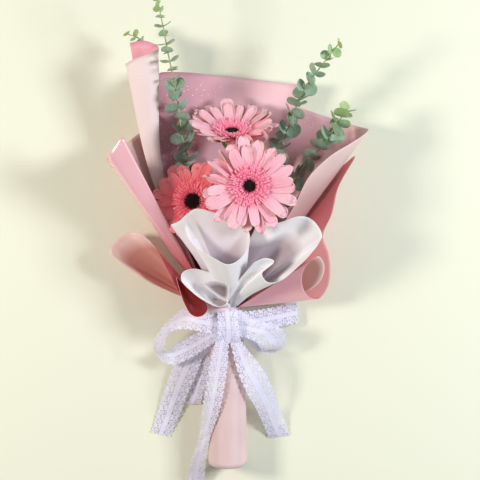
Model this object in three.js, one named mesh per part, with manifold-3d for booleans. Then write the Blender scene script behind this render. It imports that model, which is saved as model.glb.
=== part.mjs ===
// A wrapped bunch of three gerberas with eucalyptus, lying on its back.
// Millimetres, +Z up. +Y runs from the cut stems to the blooms, +X is to the right of someone looking down on it.
// Everything is laid out from the tie, the point where the stems and papers are bound together.
import * as THREE from "three";
import { mergeVertices } from "three/addons/utils/BufferGeometryUtils.js";
import Module from "manifold-3d";

const wasm = await Module();
wasm.setup();

// ---- Driving dimensions ----
const tieHeight = 21.2; // centre of the bound stems above the table
const paperThickness = 0.8;
const laceThickness = 0.8;
const clearance = 0.4; // least gap between neighbouring pieces
const bloomStemDiameter = 6;
const twigDiameter = 3.2;
const handleEnd = -150; // lower end of the handle, from the tie
const handleRadius = 20.4;
const handleAxisX = 3;
const frontBloomDiameter = 100;
const topBloomDiameter = 98;
const leftBloomDiameter = 86;
const rayCount = 16;
const eyeRadius = 6.5;
const frillRadius = 21;
const frillHeight = 4;
const calyxRadius = 12;
const calyxDepth = 15;
const petalThickness = 0.9;
const bandWidth = 20; // of the lace wound round the tie

// ---- Radii round the tie, from the stems outwards ----
const bloomStemRing = bloomStemDiameter / Math.sqrt(3) + 1.5 * clearance;
const stemSpacing = (bloomStemDiameter + twigDiameter) / 2 + 1.5 * clearance;
const notchRing = bloomStemRing / 2 + Math.sqrt(stemSpacing ** 2 - 0.75 * bloomStemRing ** 2);
const outerRing = bloomStemRing + stemSpacing;
const bundleRadius = outerRing + twigDiameter / 2 + clearance;
const tapeThickness = 0.8;
const layerStep = paperThickness + clearance;
const layerRadius = (layer) => bundleRadius + tapeThickness + clearance + paperThickness / 2 + layer * layerStep;
const bandRadius = layerRadius(4) + paperThickness / 2 + clearance;

// ---- Finishes ----
const finish = (colour, roughness) => new THREE.MeshStandardMaterial({ color: colour, roughness, metalness: 0 });
const palePink = finish(0xe9c9cb, 0.6);
const rosePink = finish(0xdd8f98, 0.5);
const whitePaper = finish(0xece9ec, 0.7);
const laceWhite = finish(0xe4e0f2, 0.9);
const petalPink = finish(0xf6a3ae, 0.6);
const frillPink = finish(0xe8708a, 0.7);
const eyeBlack = finish(0x1c0a10, 0.9);
const stemGreen = finish(0x7d9a4e, 0.7);
const leafGreen = finish(0x6f9a83, 0.7);
const tapeGreen = finish(0x9fae7d, 0.8);

const bunch = new THREE.Group();

function addMesh(name, geometry, material, parent = bunch) {
  const mesh = new THREE.Mesh(geometry, material);
  mesh.name = name;
  parent.add(mesh);
  return mesh;
}

const vector = ([x, y, z]) => new THREE.Vector3(x, y, z);
const smooth = (points) => new THREE.CatmullRomCurve3(points, false, "centripetal");
const degrees = THREE.MathUtils.degToRad;

// ---- Thin sheets ----

// A closed shell of even thickness on a grid of points, grid[along][across].
function shellFromGrid(grid, thickness) {
  const rows = grid.length;
  const columns = grid[0].length;
  const positions = [];
  const row = (j) => grid[Math.min(rows - 1, Math.max(0, j))];
  const column = (i) => Math.min(columns - 1, Math.max(0, i));
  for (const side of [0.5, -0.5]) {
    for (let j = 0; j < rows; j++) {
      for (let i = 0; i < columns; i++) {
        const along = new THREE.Vector3().subVectors(row(j + 1)[i], row(j - 1)[i]);
        const across = new THREE.Vector3().subVectors(grid[j][column(i + 1)], grid[j][column(i - 1)]);
        const normal = across.cross(along).normalize();
        positions.push(...grid[j][i].clone().addScaledVector(normal, side * thickness).toArray());
      }
    }
  }
  const index = [];
  const quad = (a, b, c, d) => index.push(a, b, c, a, c, d);
  const at = (side, j, i) => side * rows * columns + j * columns + i;
  for (let j = 0; j < rows - 1; j++) {
    for (let i = 0; i < columns - 1; i++) {
      quad(at(0, j, i), at(0, j, i + 1), at(0, j + 1, i + 1), at(0, j + 1, i));
      quad(at(1, j, i), at(1, j + 1, i), at(1, j + 1, i + 1), at(1, j, i + 1));
    }
  }
  for (let i = 0; i < columns - 1; i++) {
    quad(at(0, 0, i + 1), at(0, 0, i), at(1, 0, i), at(1, 0, i + 1));
    quad(at(0, rows - 1, i), at(0, rows - 1, i + 1), at(1, rows - 1, i + 1), at(1, rows - 1, i));
  }
  for (let j = 0; j < rows - 1; j++) {
    quad(at(0, j, 0), at(0, j + 1, 0), at(1, j + 1, 0), at(1, j, 0));
    quad(at(0, j + 1, columns - 1), at(0, j, columns - 1), at(1, j, columns - 1), at(1, j + 1, columns - 1));
  }
  const geometry = new THREE.BufferGeometry();
  geometry.setAttribute("position", new THREE.Float32BufferAttribute(positions, 3));
  geometry.setIndex(index);
  return geometry;
}

// Points of the smooth surface through a net of rows of points.
function netSurface(net, across, along) {
  const sections = net.map(smooth);
  const grid = Array.from({ length: along + 1 }, () => []);
  for (let i = 0; i <= across; i++) {
    const column = smooth(sections.map((section) => section.getPoint(i / across)));
    for (let j = 0; j <= along; j++) grid[j].push(column.getPoint(j / along));
  }
  return grid;
}

// A point on the bound neck of the bunch. Angle 0 is the front (up), 90 the right, 180 the back.
const onNeck = (layer, angle, y) =>
  new THREE.Vector3(
    layerRadius(layer) * Math.sin(degrees(angle)),
    y,
    tieHeight + layerRadius(layer) * Math.cos(degrees(angle)),
  );

const neckTop = 3; // where the papers leave the lace band and start to spread
const neckBottom = 2 - bandWidth;

// A sheet of wrapping paper that spreads from the neck to its outer edge. Each edge point is [x, y, z, angle, layer]:
// the last two say where the paper under it crosses the neck, and are filled in between the points that give them.
// Half way out the paper lies on the straight line, raised by lift, or where the waist says.
function paper(name, edge, material, { across = 16, lift = 0, waist } = {}) {
  const rim = edge.map(vector);
  const given = edge.map((point, i) => (point.length > 3 ? i : -1)).filter((i) => i >= 0);
  const crossing = (i, item) => {
    const next = given.find((g) => g >= i);
    const before = given.filter((g) => g <= i).pop();
    const share = next === before ? 0 : (i - before) / (next - before);
    return THREE.MathUtils.lerp(edge[before][item], edge[next][item], share);
  };
  const neck = (y) => rim.map((_, i) => onNeck(crossing(i, 4), crossing(i, 3), y));
  const top = neck(neckTop);
  const halfWay = (point, i) => top[i].clone().lerp(point, 0.5).add(new THREE.Vector3(0, 0, lift));
  const middle = waist ? waist.map(vector) : rim.map(halfWay);
  const bottom = smooth(neck(neckBottom));
  const grid = netSurface([top, middle, rim], across, 5);
  grid.unshift(grid[0].map((_, i) => bottom.getPoint(i / across)));
  addMesh(name, shellFromGrid(grid, paperThickness), material);
}

// ---- Pink wrapping papers ----
paper("back_sheet", [
  [-86, 188, 35.5, -128, 1], [-82, 214, 34], [-77, 236, 33], [-69, 246, 32], [-46, 248, 24], [-14, 246, 16],
  [18, 243, 12], [48, 239, 14], [70, 236, 20], [82, 234, 30, -228, 1],
], palePink, { across: 18 });

paper("right_sheet", [
  [36, 218, 1.5, 176, 2], [68, 215, 3], [93, 207, 9], [123, 196, 22], [141, 190, 40], [147, 186, 58],
  [130, 173, 72], [106, 157, 80], [86, 138, 82], [74, 115, 80], [63, 96, 74, 52, 2],
], palePink, { across: 20 });

paper("left_sheet", [
  [-10, 196, 1.5, -176, 2], [-42, 196, 4], [-67, 192, 14], [-84, 187, 28], [-98, 176, 42], [-114, 160, 60],
  [-118, 155, 82], [-112, 165, 97], [-104, 176, 102, -50, 2],
], rosePink, { across: 18 });

// A tall sheet folded in two, standing up between the left sheet and the blooms.
paper("left_fin", [
  [-98, 277, 42, -92, 1], [-84, 279, 46], [-72, 275, 51], [-68, 270, 57], [-78, 264, 64], [-92, 259, 62],
  [-102, 254, 58, -58, 1],
], palePink, { across: 14, waist: [
  [-73, 137, 38], [-69, 138, 37], [-65, 139, 37], [-63, 139, 39], [-66, 138, 42], [-71, 137, 43], [-75, 136, 43],
] });

// Lower corners of the outermost sheets, flared out into scoops.
paper("left_flare", [
  [-43, 14, 22, -122, 3], [-79, 30, 33], [-108, 50, 37], [-119, 63, 31], [-113, 73, 22], [-100, 81, 18],
  [-88, 80, 26], [-78, 73, 42], [-68, 60, 54], [-57, 38, 58, -76, 3], [-47, 20, 58], [-37, 6, 56],
  [-26, 3.5, 52, -54, 3],
], rosePink, { across: 20 });

paper("right_flare", [
  [134, 160, 48, 98, 3], [116, 128, 58], [110, 100, 60], [100, 80, 56], [105, 62, 46], [109, 42, 38],
  [107, 26, 32, 78, 3], [99, 14, 32], [88, 14, 40], [80, 26, 54], [80, 42, 62], [92, 57, 64, 48, 3],
], rosePink, { across: 20 });

// ---- White tissue in front of the blooms ----
paper("white_left", [
  [-54, 88, 74, -44, 0], [-46, 98, 82], [-36, 103, 87], [-20, 104, 90], [0, 99, 90], [16, 92, 88, 8, 0],
  [25, 80, 88], [23, 68, 92], [14, 55, 96], [3, 50, 98], [-12, 57, 98], [-27, 64, 96], [-38, 74, 92, -38, 1],
], whitePaper, { across: 22, lift: 7 });

paper("white_right", [
  [32, 88, 76, 20, 0], [54, 91, 83], [76, 96, 88], [93, 88, 90], [100, 76, 90, 44, 0], [88, 60, 88], [74, 46, 86],
  [58, 33, 80, 44, 1], [44, 31, 85], [38, 40, 91], [50, 52, 95], [42, 55, 98], [30, 51, 99, 20, 1],
], whitePaper, { across: 22, lift: 4 });

paper("white_curl", [
  [-32, 44, 54, -47, 2], [-39, 42, 60], [-45, 35, 64], [-40, 26, 68], [-30, 22, 72], [-18, 27, 75], [-6, 26, 75],
  [3, 20, 68, 10, 2],
], whitePaper, { across: 12 });

// ---- Handle: paper rolled round the stems, open at its lower end ----
const handleTop = -bandWidth - clearance;
const handleNeckRadius = bandRadius - 2;
const handleOutline = (inset) => [
  [handleNeckRadius - inset, handleTop],
  [handleNeckRadius - inset + 2, handleTop - 30],
  [handleRadius - inset - 1, handleTop - 70],
  [handleRadius - inset, handleEnd],
];
const handle = new THREE.LatheGeometry(
  [...handleOutline(paperThickness), ...handleOutline(0).reverse(), handleOutline(paperThickness)[0]].map(
    ([radius, y]) => new THREE.Vector2(radius, y),
  ),
  28,
);
handle.translate(handleAxisX, 0, tieHeight);
addMesh("handle", handle, palePink);

// ---- Solids joined with the solid modeller ----
function toSolid(geometry) {
  const plain = new THREE.BufferGeometry();
  plain.setAttribute("position", geometry.getAttribute("position"));
  if (geometry.index) plain.setIndex(geometry.index);
  const merged = mergeVertices(plain, 1e-4);
  return new wasm.Manifold(
    new wasm.Mesh({
      numProp: 3,
      vertProperties: merged.getAttribute("position").array,
      triVerts: new Uint32Array(merged.index.array),
    }),
  );
}

function toGeometry(solid) {
  const mesh = solid.getMesh();
  const geometry = new THREE.BufferGeometry();
  geometry.setAttribute("position", new THREE.BufferAttribute(mesh.vertProperties, 3));
  geometry.setIndex(new THREE.BufferAttribute(mesh.triVerts, 1));
  return geometry;
}

function rod(points, radius, steps, sides = 8) {
  const section = new THREE.Shape();
  section.absarc(0, 0, radius, 0, 2 * Math.PI);
  return new THREE.ExtrudeGeometry(section, {
    steps,
    curveSegments: sides,
    extrudePath: smooth(points.map(vector)),
    bevelEnabled: false,
  });
}

// ---- Gerberas ----

// A flat ring of rays round the bloom's axis (z), cupped forward towards the tips.
function rayRing(innerRadius, outerRadius, rise, cup, turn) {
  const stepsPerRay = 3;
  const count = rayCount * stepsPerRay;
  const reach = [0, 0.55, 1];
  const rings = [];
  for (const side of [0, 1]) {
    for (const share of reach) {
      const ring = [];
      for (let k = 0; k < count; k++) {
        const notch = k % stepsPerRay === 0 ? 1 - 0.14 * share * share : 1;
        const radius = THREE.MathUtils.lerp(innerRadius, outerRadius, share) * notch;
        const angle = turn + (2 * Math.PI * k) / count;
        const height = rise + Math.sin(cup) * radius + side * petalThickness;
        ring.push([radius * Math.cos(angle), radius * Math.sin(angle), height]);
      }
      rings.push(ring);
    }
  }
  const [bottom0, bottom1, bottom2, top0, top1, top2] = rings.map((_, r) => r * count);
  const loop = [top0, top1, top2, bottom2, bottom1, bottom0, top0];
  const index = [];
  for (let r = 0; r < loop.length - 1; r++) {
    for (let k = 0; k < count; k++) {
      const next = (k + 1) % count;
      const [a, b, c, d] = [loop[r] + k, loop[r + 1] + k, loop[r + 1] + next, loop[r] + next];
      index.push(a, b, c, a, c, d);
    }
  }
  const geometry = new THREE.BufferGeometry();
  geometry.setAttribute("position", new THREE.Float32BufferAttribute(rings.flat(2), 3));
  geometry.setIndex(index);
  return geometry;
}

const turned = (profile, sides) =>
  new THREE.LatheGeometry(profile.map(([r, h]) => new THREE.Vector2(r, h)), sides).rotateX(Math.PI / 2);

// A bloom at the place where its rays start, facing along its axis, with the stem that carries it down to the handle.
function bloom(name, diameter, place, facing, cupDegrees, bundleAngle, knee) {
  const cup = degrees(cupDegrees);
  const head = new THREE.Group();
  head.position.copy(vector(place));
  const axis = vector(facing).normalize();
  head.quaternion.setFromUnitVectors(new THREE.Vector3(0, 0, 1), axis);
  bunch.add(head);
  const radius = diameter / 2;
  const ringStep = petalThickness + clearance;
  const insideRadius = eyeRadius;
  const lift = Math.sin(cup) * calyxRadius;
  addMesh(`${name}_calyx`, turned(
    [[0, -calyxDepth], [bloomStemDiameter / 2 + 1, -calyxDepth], [calyxRadius * 0.75, -calyxDepth * 0.6],
      [calyxRadius, -clearance + lift], [insideRadius, -clearance + Math.sin(cup) * insideRadius],
      [0, -clearance + Math.sin(cup) * insideRadius]], 16), stemGreen, head);
  addMesh(`${name}_outer_rays`, rayRing(insideRadius, radius, 0, cup, 0), petalPink, head);
  addMesh(`${name}_inner_rays`, rayRing(insideRadius, radius * 0.8, ringStep, cup, Math.PI / rayCount), petalPink, head);
  const frillBase = 2 * ringStep;
  const slope = (r) => frillBase + Math.sin(cup) * r;
  addMesh(`${name}_frill`, turned(
    [[eyeRadius + clearance, slope(eyeRadius + clearance)], [frillRadius, slope(frillRadius)],
      [frillRadius, slope(frillRadius) + frillHeight * 0.6], [frillRadius * 0.7, slope(frillRadius) + frillHeight],
      [eyeRadius + clearance, slope(eyeRadius) + frillHeight * 0.6],
      [eyeRadius + clearance, slope(eyeRadius + clearance)]], 24), frillPink, head);
  addMesh(`${name}_eye`, turned(
    [[0, Math.sin(cup) * eyeRadius], [eyeRadius - clearance, Math.sin(cup) * eyeRadius],
      [eyeRadius - clearance, slope(eyeRadius) + 1.5],
      [eyeRadius * 0.5, slope(eyeRadius) + 2.6], [0, slope(eyeRadius) + 3]], 16), eyeBlack, head);
  const foot = vector(place).addScaledVector(axis, -calyxDepth - clearance);
  const bend = foot.clone().addScaledVector(axis, -12);
  const across = [bloomStemRing * Math.sin(degrees(bundleAngle)), bloomStemRing * Math.cos(degrees(bundleAngle))];
  const inBundle = (y) => [across[0], y, tieHeight + across[1]];
  addMesh(`${name}_stem`, rod(
    [inBundle(handleEnd + 12), inBundle(-60), inBundle(-20), inBundle(4), knee, bend.toArray(), foot.toArray()],
    bloomStemDiameter / 2, 18, 4), stemGreen);
}

bloom("front_bloom", frontBloomDiameter, [25, 128, 100], [0.02, -0.04, 1], 9, 30, [10, 60, 44]);
bloom("top_bloom", topBloomDiameter, [7.5, 178, 55], [0, 0.85, 0.53], 17, 150, [2, 80, 20]);
bloom("left_bloom", leftBloomDiameter, [-32, 113, 52], [-0.12, 0.04, 0.99], 6, 270, [-13, 50, 26]);

addMesh("binding_tape", turned(
  [[bundleRadius, 0], [bundleRadius + tapeThickness, 0], [bundleRadius + tapeThickness, bandWidth - 6],
    [bundleRadius, bandWidth - 6], [bundleRadius, 0]], 24).rotateX(Math.PI / 2).translate(0, -3, tieHeight), tapeGreen);

// ---- Eucalyptus ----

// A twig with round leaves in pairs. Each leaf is [share of the way up, angle round the twig, radius, twist].
function sprig(name, bundlePlace, points, leaves, tipRadius = 0.9) {
  const [ring, angle] = bundlePlace;
  const inBundle = (y) => [ring * Math.sin(degrees(angle)), y, tieHeight + ring * Math.cos(degrees(angle))];
  const path = [inBundle(handleEnd + 30), inBundle(-60), inBundle(-20), inBundle(4), ...points];
  let solid = toSolid(rod(path, twigDiameter / 2, 20, 3));
  const stretch = smooth(points.map(vector));
  for (const [share, around, radius, twist] of leaves) {
    const spot = stretch.getPointAt(share);
    const along = stretch.getTangentAt(share);
    const side = new THREE.Vector3(0, 0, 1).cross(along).normalize().applyAxisAngle(along, degrees(around));
    const out = side.clone().multiplyScalar(Math.cos(degrees(35))).addScaledVector(along, Math.sin(degrees(35)));
    const face = new THREE.Vector3().crossVectors(out, new THREE.Vector3().crossVectors(along, side)).normalize();
    face.applyAxisAngle(out, degrees(twist));
    const blade = new THREE.CylinderGeometry(radius, radius, 0.9, 7);
    blade.applyQuaternion(new THREE.Quaternion().setFromUnitVectors(new THREE.Vector3(0, 1, 0), face));
    blade.translate(...spot.clone().addScaledVector(out, radius * 0.96).toArray());
    solid = solid.add(toSolid(blade));
  }
  addMesh(name, toGeometry(solid), leafGreen);
}

// Opposite pairs of leaves, growing from the small ones at the tip to the large ones lower down.
function pairs(from, to, count, smallest, largest, startAngle, twist) {
  const leaves = [];
  for (let k = 0; k < count; k++) {
    const share = THREE.MathUtils.lerp(from, to, k / (count - 1));
    const radius = THREE.MathUtils.lerp(largest, smallest, k / (count - 1));
    const around = startAngle + 75 * k;
    leaves.push([share, around, radius, twist], [share, around + 180, radius * 0.92, -twist]);
  }
  return leaves;
}

sprig("left_tall_sprig", [outerRing, -90], [
  [-21, 50, 29], [-41, 113, 31], [-42, 152, 38], [-45, 182, 45], [-50, 226, 58], [-58, 265, 71], [-63, 291, 80], [-68, 318, 84],
], pairs(0.54, 0.99, 10, 4, 8, 10, 25));
sprig("left_back_sprig", [notchRing, 210], [
  [-25, 50, 20], [-66, 138, 32.5], [-78, 205, 38.4], [-84, 250, 38.4], [-90, 279, 37], [-101, 286, 36],
], pairs(0.92, 0.99, 3, 3.5, 4.5, 40, 20));
sprig("right_tall_sprig", [notchRing, 90], [
  [20, 60, 22], [44, 130, 34], [58, 172, 43], [71, 205, 54], [84, 232, 66], [98, 251, 74], [118, 274, 82],
], pairs(0.56, 0.99, 9, 5, 8.5, 20, 30));
sprig("right_small_sprig", [outerRing, 30], [
  [28, 50, 36], [62, 120, 44], [84, 150, 50], [104, 172, 58], [114, 190, 66], [126, 208, 72],
], pairs(0.6, 0.99, 7, 4, 8, 50, 30));

// ---- Lace bow ----
const bandOuter = bandRadius + laceThickness;
addMesh("lace_band", turned(
  [[bandRadius, 0], [bandOuter, 0], [bandOuter, bandWidth], [bandRadius, bandWidth], [bandRadius, 0]], 28,
).rotateX(Math.PI / 2).translate(0, 0, tieHeight), laceWhite);

const knotHalfHeight = 4;
const knot = new THREE.SphereGeometry(1, 14, 8);
knot.scale(10, 12, knotHalfHeight).translate(4, -17, tieHeight + bandOuter + clearance + knotHalfHeight);
addMesh("lace_knot", knot, laceWhite);

// A strip of lace between its two long edges.
function lace(name, left, right, across) {
  addMesh(name, shellFromGrid(netSurface([left.map(vector), right.map(vector)], across, 2), laceThickness), laceWhite);
}

lace("lace_left_loop", [
  [-10, -5, 42], [-26, -2, 41], [-40, 3, 38], [-57, -9, 34], [-71, -26, 28], [-74, -40, 23], [-68, -50, 19],
  [-55, -58, 18], [-38, -54, 21], [-25, -44, 25],
], [
  [-12, -24, 43], [-28, -20, 43], [-44, -18, 42], [-57, -22, 40], [-62, -33, 36], [-62, -42, 28], [-58, -44, 22],
  [-50, -38, 20], [-38, -30, 21], [-25, -24, 22],
], 22);
lace("lace_right_loop", [
  [20, -8, 42], [38, -11, 42], [54, -15, 39], [63, -27, 32], [61, -38, 24], [50, -44, 18], [36, -43, 17],
  [25, -36, 20],
], [
  [18, -28, 43], [26, -29, 43], [32, -32, 41], [36, -38, 36], [40, -42, 28], [40, -38, 20], [32, -30, 18],
  [24, -22, 20],
], 18);
lace("lace_upper_loop", [
  [19, -3, 30], [32, -1, 25], [50, 2, 18], [70, 6, 13], [76, 7, 10], [70, 5, 7], [48, 0, 6], [24, -5, 6],
], [
  [19, -22, 30], [32, -22, 25], [50, -19, 17], [70, -15, 12], [76, -14, 9], [70, -15, 6], [48, -20, 5], [24, -24, 5],
], 16);
lace("lace_left_tail", [
  [-40, -36, 9], [-50, -52, 7], [-63, -84, 5], [-71, -110, 3], [-76, -126, 2],
], [
  [-22, -46, 14], [-28, -64, 12], [-36, -82, 9], [-46, -108, 4], [-58, -133, 1.5],
], 10);
lace("lace_short_tail", [
  [-26, -56, 6], [-31, -70, 4], [-37, -84, 3], [-42, -98, 2],
], [
  [-18, -52, 14], [-21, -68, 12], [-24, -82, 9], [-27, -97, 6],
], 8);
lace("lace_middle_tail", [
  [-8, -32, 44], [-16, -60, 42], [-23, -100, 33], [-28, -136, 18], [-36, -160, 9], [-40, -180, 5], [-42, -190, 3],
], [
  [2, -34, 44], [-1, -60, 44], [-7, -100, 42], [-17, -130, 32], [-21, -158, 16], [-23, -180, 8], [-24, -190, 5],
], 12);
lace("lace_right_tail", [
  [6, -33, 44], [14, -63, 42], [24, -84, 38], [32, -100, 26], [38, -116, 12], [47, -134, 2],
], [
  [16, -31, 43], [28, -47, 40], [40, -64, 32], [50, -84, 22], [60, -110, 8], [68, -133, 1.5],
], 10);

const box = new THREE.Box3().setFromObject(bunch);
const centre = box.getCenter(new THREE.Vector3());
bunch.position.set(-centre.x, -centre.y, -box.min.z);

export default bunch;
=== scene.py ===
# %% [markdown]
# # A wrapped bunch of gerberas
# The bunch lies on its back: three gerberas and some eucalyptus, wrapped in pink paper and white tissue, with a
# rolled paper handle and a lace bow. The solids that hold its sizes are loaded first as a fixed frame.
# Everything that is made here takes its place from them, in metres, and stands for the plain solid of the same
# piece.

import math

import bpy
import numpy as np
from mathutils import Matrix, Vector


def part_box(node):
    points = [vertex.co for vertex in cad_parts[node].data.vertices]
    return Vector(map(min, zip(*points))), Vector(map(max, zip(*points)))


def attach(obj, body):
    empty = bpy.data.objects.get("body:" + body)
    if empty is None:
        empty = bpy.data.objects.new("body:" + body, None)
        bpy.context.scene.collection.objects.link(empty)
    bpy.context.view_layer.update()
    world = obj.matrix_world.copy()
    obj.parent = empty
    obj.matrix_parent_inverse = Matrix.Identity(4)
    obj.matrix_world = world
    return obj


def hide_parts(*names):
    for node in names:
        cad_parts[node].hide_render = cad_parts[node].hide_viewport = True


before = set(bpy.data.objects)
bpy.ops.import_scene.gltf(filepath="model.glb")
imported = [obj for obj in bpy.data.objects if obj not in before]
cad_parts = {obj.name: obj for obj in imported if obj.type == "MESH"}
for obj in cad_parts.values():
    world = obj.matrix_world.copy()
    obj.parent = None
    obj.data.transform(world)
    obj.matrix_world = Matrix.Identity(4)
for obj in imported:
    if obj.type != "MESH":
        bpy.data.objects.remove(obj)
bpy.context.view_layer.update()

# %% [markdown]
# ## Where things are
# A bunch grows out of one place: the tie, where stems and papers are squeezed together under the lace. The lace
# band is a ring round that place, so its box gives the tie's centre and radius. All shapes below are written in
# millimetres from the tie, with Y towards the blooms and Z up, because that is how a florist would measure
# them.

# %% The tie and the neck
band_low, band_high = (np.array(c) * 1000 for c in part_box("lace_band"))
BAND_OUTER = (band_high[0] - band_low[0]) / 2
BAND_WIDTH = band_high[1] - band_low[1]
TIE_HEIGHT = 21.2
TIE = np.array([(band_low[0] + band_high[0]) / 2, band_high[1], (band_low[2] + band_high[2]) / 2 - TIE_HEIGHT])
LAYER_STEP = 1.2
LAYERS = 4
LACE_ROOM = 1.6
NECK_TOP = 3.0


def layer_radius(layer):
    """Radius of a paper layer round the stems: four steps of one layer fit inside the lace band."""
    return BAND_OUTER - LACE_ROOM - (LAYERS - layer) * LAYER_STEP


def on_neck(layer, angle, y):
    """Points round the tie: radius times (sine, cosine) of the angle from straight up, at the given y."""
    a = np.radians(angle)
    r = layer_radius(layer)
    return np.stack([r * np.sin(a), np.full_like(a, y), TIE_HEIGHT + r * np.cos(a)], -1)


print("tie", TIE.round(2), "band radius", round(float(BAND_OUTER), 2))

# %% [markdown]
# ## Smooth lines and surfaces
# Paper and ribbon bend in long smooth curves. A spline through a few points gives such a curve, and a spline
# through several of those curves gives a surface. The spline here spaces its speed by the square root of the
# distance between points (centripetal), which keeps it from looping where two points are close.

# %% Splines on whole arrays
def spline(points, t):
    """Centripetal Catmull-Rom through points (n, ..., 3) at every t from 0 to 1. Each stretch is a cubic
    whose end slopes mix the neighbouring chords, weighted by their lengths."""
    p = np.asarray(points, float)
    n = len(p)
    padded = np.concatenate([2 * p[:1] - p[1:2], p, 2 * p[-1:] - p[-2:-1]])
    place = np.clip(np.asarray(t, float), 0, 1) * (n - 1)
    i = np.minimum(place.astype(int), n - 2)
    w = (place - i).reshape(-1, *[1] * (p.ndim - 1))
    p0, p1, p2, p3 = (padded[i + k] for k in range(4))
    chord = lambda a, b: np.sqrt(np.linalg.norm(b - a, axis=-1, keepdims=True)) + 1e-9
    d0, d1, d2 = chord(p0, p1), chord(p1, p2), chord(p2, p3)
    m1 = ((p1 - p0) / d0 - (p2 - p0) / (d0 + d1) + (p2 - p1) / d1) * d1
    m2 = ((p2 - p1) / d1 - (p3 - p1) / (d1 + d2) + (p3 - p2) / d2) * d1
    return p1 + m1 * w + (-3 * p1 + 3 * p2 - 2 * m1 - m2) * w**2 + (2 * p1 - 2 * p2 + m1 + m2) * w**3


def smoothstep(x):
    """0 below 0, 1 above 1, and 3 x squared less 2 x cubed between them."""
    x = np.clip(x, 0, 1)
    return x * x * (3 - 2 * x)


def net(rows, across, along):
    """Surface through a net of rows: a spline along each row, then a spline down each column."""
    u = np.linspace(0, 1, across + 1)
    return spline(np.stack([spline(np.array(row, float), u) for row in rows]), np.linspace(0, 1, along + 1))


def grid_normals(g):
    """Unit normals of a grid (rows, columns, 3): the step across times the step along."""
    n = np.cross(np.gradient(g, axis=-2), np.gradient(g, axis=-3))
    return n / (np.linalg.norm(n, axis=-1, keepdims=True) + 1e-12)


def grid_faces(rows, columns, copies=1, closed=False):
    """Quads of one or many equal grids, laid one after another in the vertex list."""
    j, i = np.meshgrid(np.arange(rows - 1), np.arange(columns if closed else columns - 1), indexing="ij")
    k = (i + 1) % columns
    corners = [j * columns + i, j * columns + k, (j + 1) * columns + k, (j + 1) * columns + i]
    quad = np.stack(corners, -1).reshape(-1, 4)
    return (quad[None] + (np.arange(copies) * rows * columns)[:, None, None]).reshape(-1, 4)


# %% [markdown]
# Every piece goes into the scene in the same way. Its points are moved from millimetres at the tie to metres in
# the shared frame, it rides on the one body, and it says which plain solid it stands for.

# %% Put a surface into the scene
def piece(name, points, faces, materials, replaced, face_material=None):
    """A mesh object from points in mm from the tie. It rides on the bunch and stands for the named solid."""
    mesh = bpy.data.meshes.new(name)
    vertices = (np.asarray(points, float).reshape(-1, 3) + TIE) / 1000
    mesh.vertices.add(len(vertices))
    mesh.vertices.foreach_set("co", vertices.astype(np.float32).ravel())
    faces = np.asarray(faces)
    size = faces.shape[1]
    mesh.loops.add(faces.size)
    mesh.loops.foreach_set("vertex_index", faces.astype(np.int32).ravel())
    mesh.polygons.add(len(faces))
    mesh.polygons.foreach_set("loop_start", np.arange(0, faces.size, size, dtype=np.int32))
    mesh.polygons.foreach_set("use_smooth", np.ones(len(faces), bool))
    mesh.update(calc_edges=True)
    for material in materials:
        mesh.materials.append(material)
    if face_material is not None:
        mesh.polygons.foreach_set("material_index", np.asarray(face_material, dtype=np.int32))
    mesh.validate()
    obj = bpy.data.objects.new(name, mesh)
    bpy.context.scene.collection.objects.link(obj)
    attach(obj, "root")
    if replaced:
        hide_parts(replaced)
    return obj


def store(obj, name, values):
    """A vector per vertex, for the materials to read: where on its petal, leaf or sheet the vertex lies."""
    attribute = obj.data.attributes.new(name, "FLOAT_VECTOR", "POINT")
    attribute.data.foreach_set("vector", np.asarray(values, np.float32).reshape(-1, 3).ravel())


def thicken(obj, thickness_mm, other_side=0):
    """A wall of even thickness about the surface. other_side picks the next material for the far face."""
    wall = obj.modifiers.new("wall", "SOLIDIFY")
    wall.thickness = thickness_mm / 1000
    wall.offset = 0
    wall.material_offset = other_side


# %% [markdown]
# ## Materials
# A node tree is easier to read when small helpers place the nodes. Effects that several materials share, such
# as the soft mottling of paper, stems, leaves and lace, are node groups with named sockets, built once.

# %% Node helpers
def new_material(name):
    """An empty material with a Principled shader on its output."""
    material = bpy.data.materials.new(name)
    material.use_nodes = True
    tree = material.node_tree
    tree.nodes.clear()
    out = tree.nodes.new("ShaderNodeOutputMaterial")
    shader = tree.nodes.new("ShaderNodeBsdfPrincipled")
    tree.links.new(shader.outputs[0], out.inputs[0])
    return material, tree, shader


def node(tree, kind, inputs=None, **settings):
    """One node with its settings, and its inputs set to values or linked to sockets."""
    made = tree.nodes.new(kind)
    for key, value in settings.items():
        setattr(made, key, value)
    for key, value in (inputs or {}).items():
        if isinstance(value, bpy.types.NodeSocket):
            tree.links.new(value, made.inputs[key])
        else:
            made.inputs[key].default_value = value
    return made


def maths(tree, operation, a, b=0.0, c=0.0, clamp=False):
    """One sum of a and b, and of c where the operation takes three."""
    return node(tree, "ShaderNodeMath", {0: a, 1: b, 2: c}, operation=operation, use_clamp=clamp).outputs[0]


def mix(tree, factor, a, b):
    """Colour a where the factor is 0, colour b where it is 1."""
    made = node(tree, "ShaderNodeMix", {0: factor}, data_type="RGBA", blend_type="MIX", clamp_result=False)
    for socket, value in ((made.inputs[6], a), (made.inputs[7], b)):
        if isinstance(value, bpy.types.NodeSocket):
            tree.links.new(value, socket)
        else:
            socket.default_value = value
    return made.outputs[2]


def ramp(tree, factor, stops):
    """Colour ramp from (position, colour) stops."""
    made = node(tree, "ShaderNodeValToRGB", {0: factor})
    elements = made.color_ramp.elements
    while len(elements) < len(stops):
        elements.new(0.5)
    for element, (position, colour) in zip(elements, stops):
        element.position, element.color = position, colour
    return made.outputs[0]


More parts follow.
